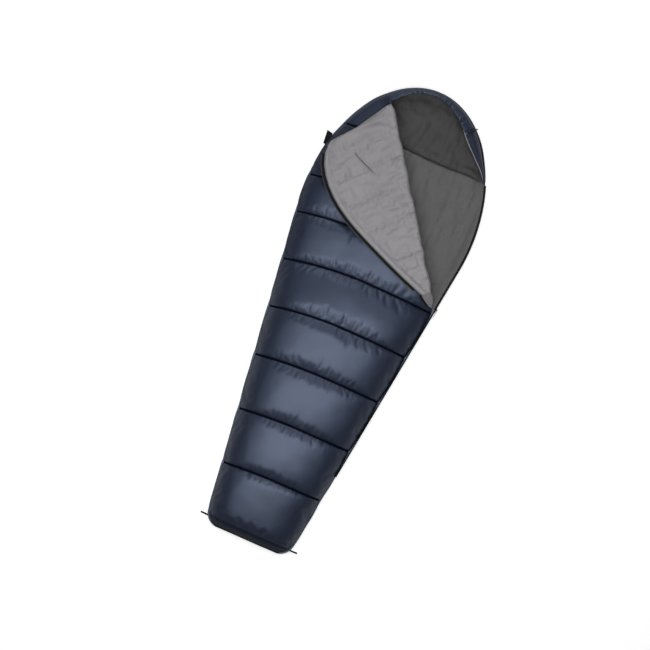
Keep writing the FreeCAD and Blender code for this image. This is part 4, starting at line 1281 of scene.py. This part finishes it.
# %% Make the label
low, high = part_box("side_label")
y = (low.y + high.y) / 2 - 0.032
inner, outer = high.x + 0.004, low.x - 0.002
z = seam_height - 0.002
path = [
    Vector((inner + (outer - inner) * t, y + 0.006 * t, z - 0.004 * t)) for t in (0, 0.3, 0.6, 0.9)
]
path.append(Vector((outer, y + 0.007, z - 0.0055)))
path += [p - Vector((0, 0, 0.003)) for p in path[:4][::-1]]
label = tape_strip("Side_Label", path, (-0.006, 0.062, 0), 0.0009, black_tape)
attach(label, "bag")
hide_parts("side_label")
print("label made")

# %% [markdown]
# ## The draw cord's end
# The cord comes out of its tunnel, goes through the lock and ends in a knot just beyond it. It is
# too short to hang, so it is one smooth curve through the lock.

# %% Make the cord and its knot
CORD_ROUTE = (
    (0.1847, 0.9783, 0.0908),
    (0.1880, 0.9816, 0.0919),
    (0.1933, 0.9866, 0.0932),
    (0.1952, 0.9885, 0.0918),
    (0.2006, 0.9937, 0.0860),
    (0.2060, 0.9990, 0.0802),
    (0.2127, 1.0054, 0.0718),
    (0.2157, 1.0083, 0.0641),
)
curve = bpy.data.curves.new("Draw_Cord", "CURVE")
curve.dimensions = "3D"
spline = curve.splines.new("NURBS")
spline.points.add(len(CORD_ROUTE) - 1)
for point, place in zip(spline.points, CORD_ROUTE):
    point.co = (*place, 1)
spline.order_u = 3
spline.use_endpoint_u = True
curve.bevel_depth = 0.0018
curve.bevel_resolution = 4
curve.use_fill_caps = True
cord = bpy.data.objects.new("Draw_Cord", curve)
bpy.context.scene.collection.objects.link(cord)
curve.materials.append(thread)
bpy.ops.object.select_all(action="DESELECT")
bpy.ops.mesh.primitive_uv_sphere_add(segments=20, ring_count=12, radius=0.0036)
knot = bpy.context.object
knot.name = "Cord_Knot"
for vertex in knot.data.vertices:
    swirl = 1 + 0.12 * math.sin(5 * math.atan2(vertex.co.y, vertex.co.x) + vertex.co.z * 1500)
    vertex.co = Vector(CORD_ROUTE[-1]) + vertex.co * swirl
bpy.ops.object.shade_smooth()
knot.data.materials.append(thread)
for piece in (cord, knot):
    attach(piece, "bag")
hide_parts("cord_tail")
print("cord made")

# %% [markdown]
# ## The camera, the floor and the light
# The bag is seen from almost straight above, with its foot nearer.

# %% Camera
camera_data = bpy.data.cameras.new("Camera")
camera_data.lens = 100
camera = bpy.data.objects.new("Camera", camera_data)
bpy.context.scene.collection.objects.link(camera)
bpy.context.scene.camera = camera
ELEVATION = math.radians(88.3)
target = Vector((-0.0595, -0.073, 0.05))
AZIMUTH = math.radians(23.6)
flat_right = Vector((math.cos(AZIMUTH), math.sin(AZIMUTH), 0))
flat_up = Vector((-math.sin(AZIMUTH), math.cos(AZIMUTH), 0))
back = -flat_up * math.cos(ELEVATION) + Vector((0, 0, math.sin(ELEVATION)))
camera.location = target + back * 8.12
look_up = back.cross(flat_right)
camera.matrix_world = Matrix(
    (
        (flat_right.x, look_up.x, back.x, camera.location.x),
        (flat_right.y, look_up.y, back.y, camera.location.y),
        (flat_right.z, look_up.z, back.z, camera.location.z),
        (0, 0, 0, 1),
    )
)
bpy.context.scene.view_settings.view_transform = "Standard"
print("camera at", [round(v, 2) for v in camera.location])

# %% [markdown]
# A long softbox above gives the shell its soft streak of light, a wide one fills round it, and a
# low one beyond the head rakes over the lining, so that its creases show.

# %% Floor and light
bpy.ops.object.select_all(action="DESELECT")
bpy.ops.mesh.primitive_plane_add(size=30, location=(0, 0, -0.0005))
floor = bpy.context.object
floor.name = "Floor"
paper = bpy.data.materials.new("White_Floor")
paper.use_nodes = True
tree = paper.node_tree
shader = tree.nodes["Principled BSDF"]
shader.inputs["Base Color"].default_value = (0.6, 0.6, 0.6, 1)
shader.inputs["Roughness"].default_value = 1
shader.inputs["Specular IOR Level"].default_value = 0
path = tree.nodes.new("ShaderNodeLightPath")
glow = tree.nodes.new("ShaderNodeEmission")
lift = tree.nodes.new("ShaderNodeMath")
lift.operation = "MULTIPLY"
lift.inputs[1].default_value = 0.66
both = tree.nodes.new("ShaderNodeAddShader")
tree.links.new(path.outputs["Is Camera Ray"], lift.inputs[0])
tree.links.new(lift.outputs[0], glow.inputs["Strength"])
tree.links.new(shader.outputs[0], both.inputs[0])
tree.links.new(glow.outputs[0], both.inputs[1])
tree.links.new(both.outputs[0], tree.nodes["Material Output"].inputs["Surface"])
floor.data.materials.append(paper)

world = bpy.data.worlds.new("World")
bpy.context.scene.world = world
world.use_nodes = True
tree = world.node_tree
sky = tree.nodes["Background"]
sky.inputs["Color"].default_value = (1, 1, 1, 1)
path = tree.nodes.new("ShaderNodeLightPath")
level = tree.nodes.new("ShaderNodeMapRange")
level.inputs["To Min"].default_value = 0.1
level.inputs["To Max"].default_value = 1.0
tree.links.new(path.outputs["Is Camera Ray"], level.inputs["Value"])
tree.links.new(level.outputs["Result"], sky.inputs["Strength"])


def area_light(name, place, aim, size, power):
    data = bpy.data.lights.new(name, "AREA")
    data.shape = "RECTANGLE"
    data.size, data.size_y = size
    data.energy = power
    lamp = bpy.data.objects.new(name, data)
    bpy.context.scene.collection.objects.link(lamp)
    lamp.location = place
    lamp.rotation_mode = "QUATERNION"
    lamp.rotation_quaternion = (Vector(aim) - Vector(place)).to_track_quat("-Z", "Y")
    return lamp


print("floor and world set")
area_light("Softbox_Over", (-0.12, -0.3, 3.0), (-0.03, -0.2, 0), (0.8, 2.9), 68)
area_light("Softbox_Wide", (-0.12, -0.1, 3.2), (-0.03, 0.0, 0), (2.2, 3.4), 14)
area_light("Softbox_Head", (-0.7, 3.3, 1.9), (0, 0.2, 0), (1.6, 1.4), 34)
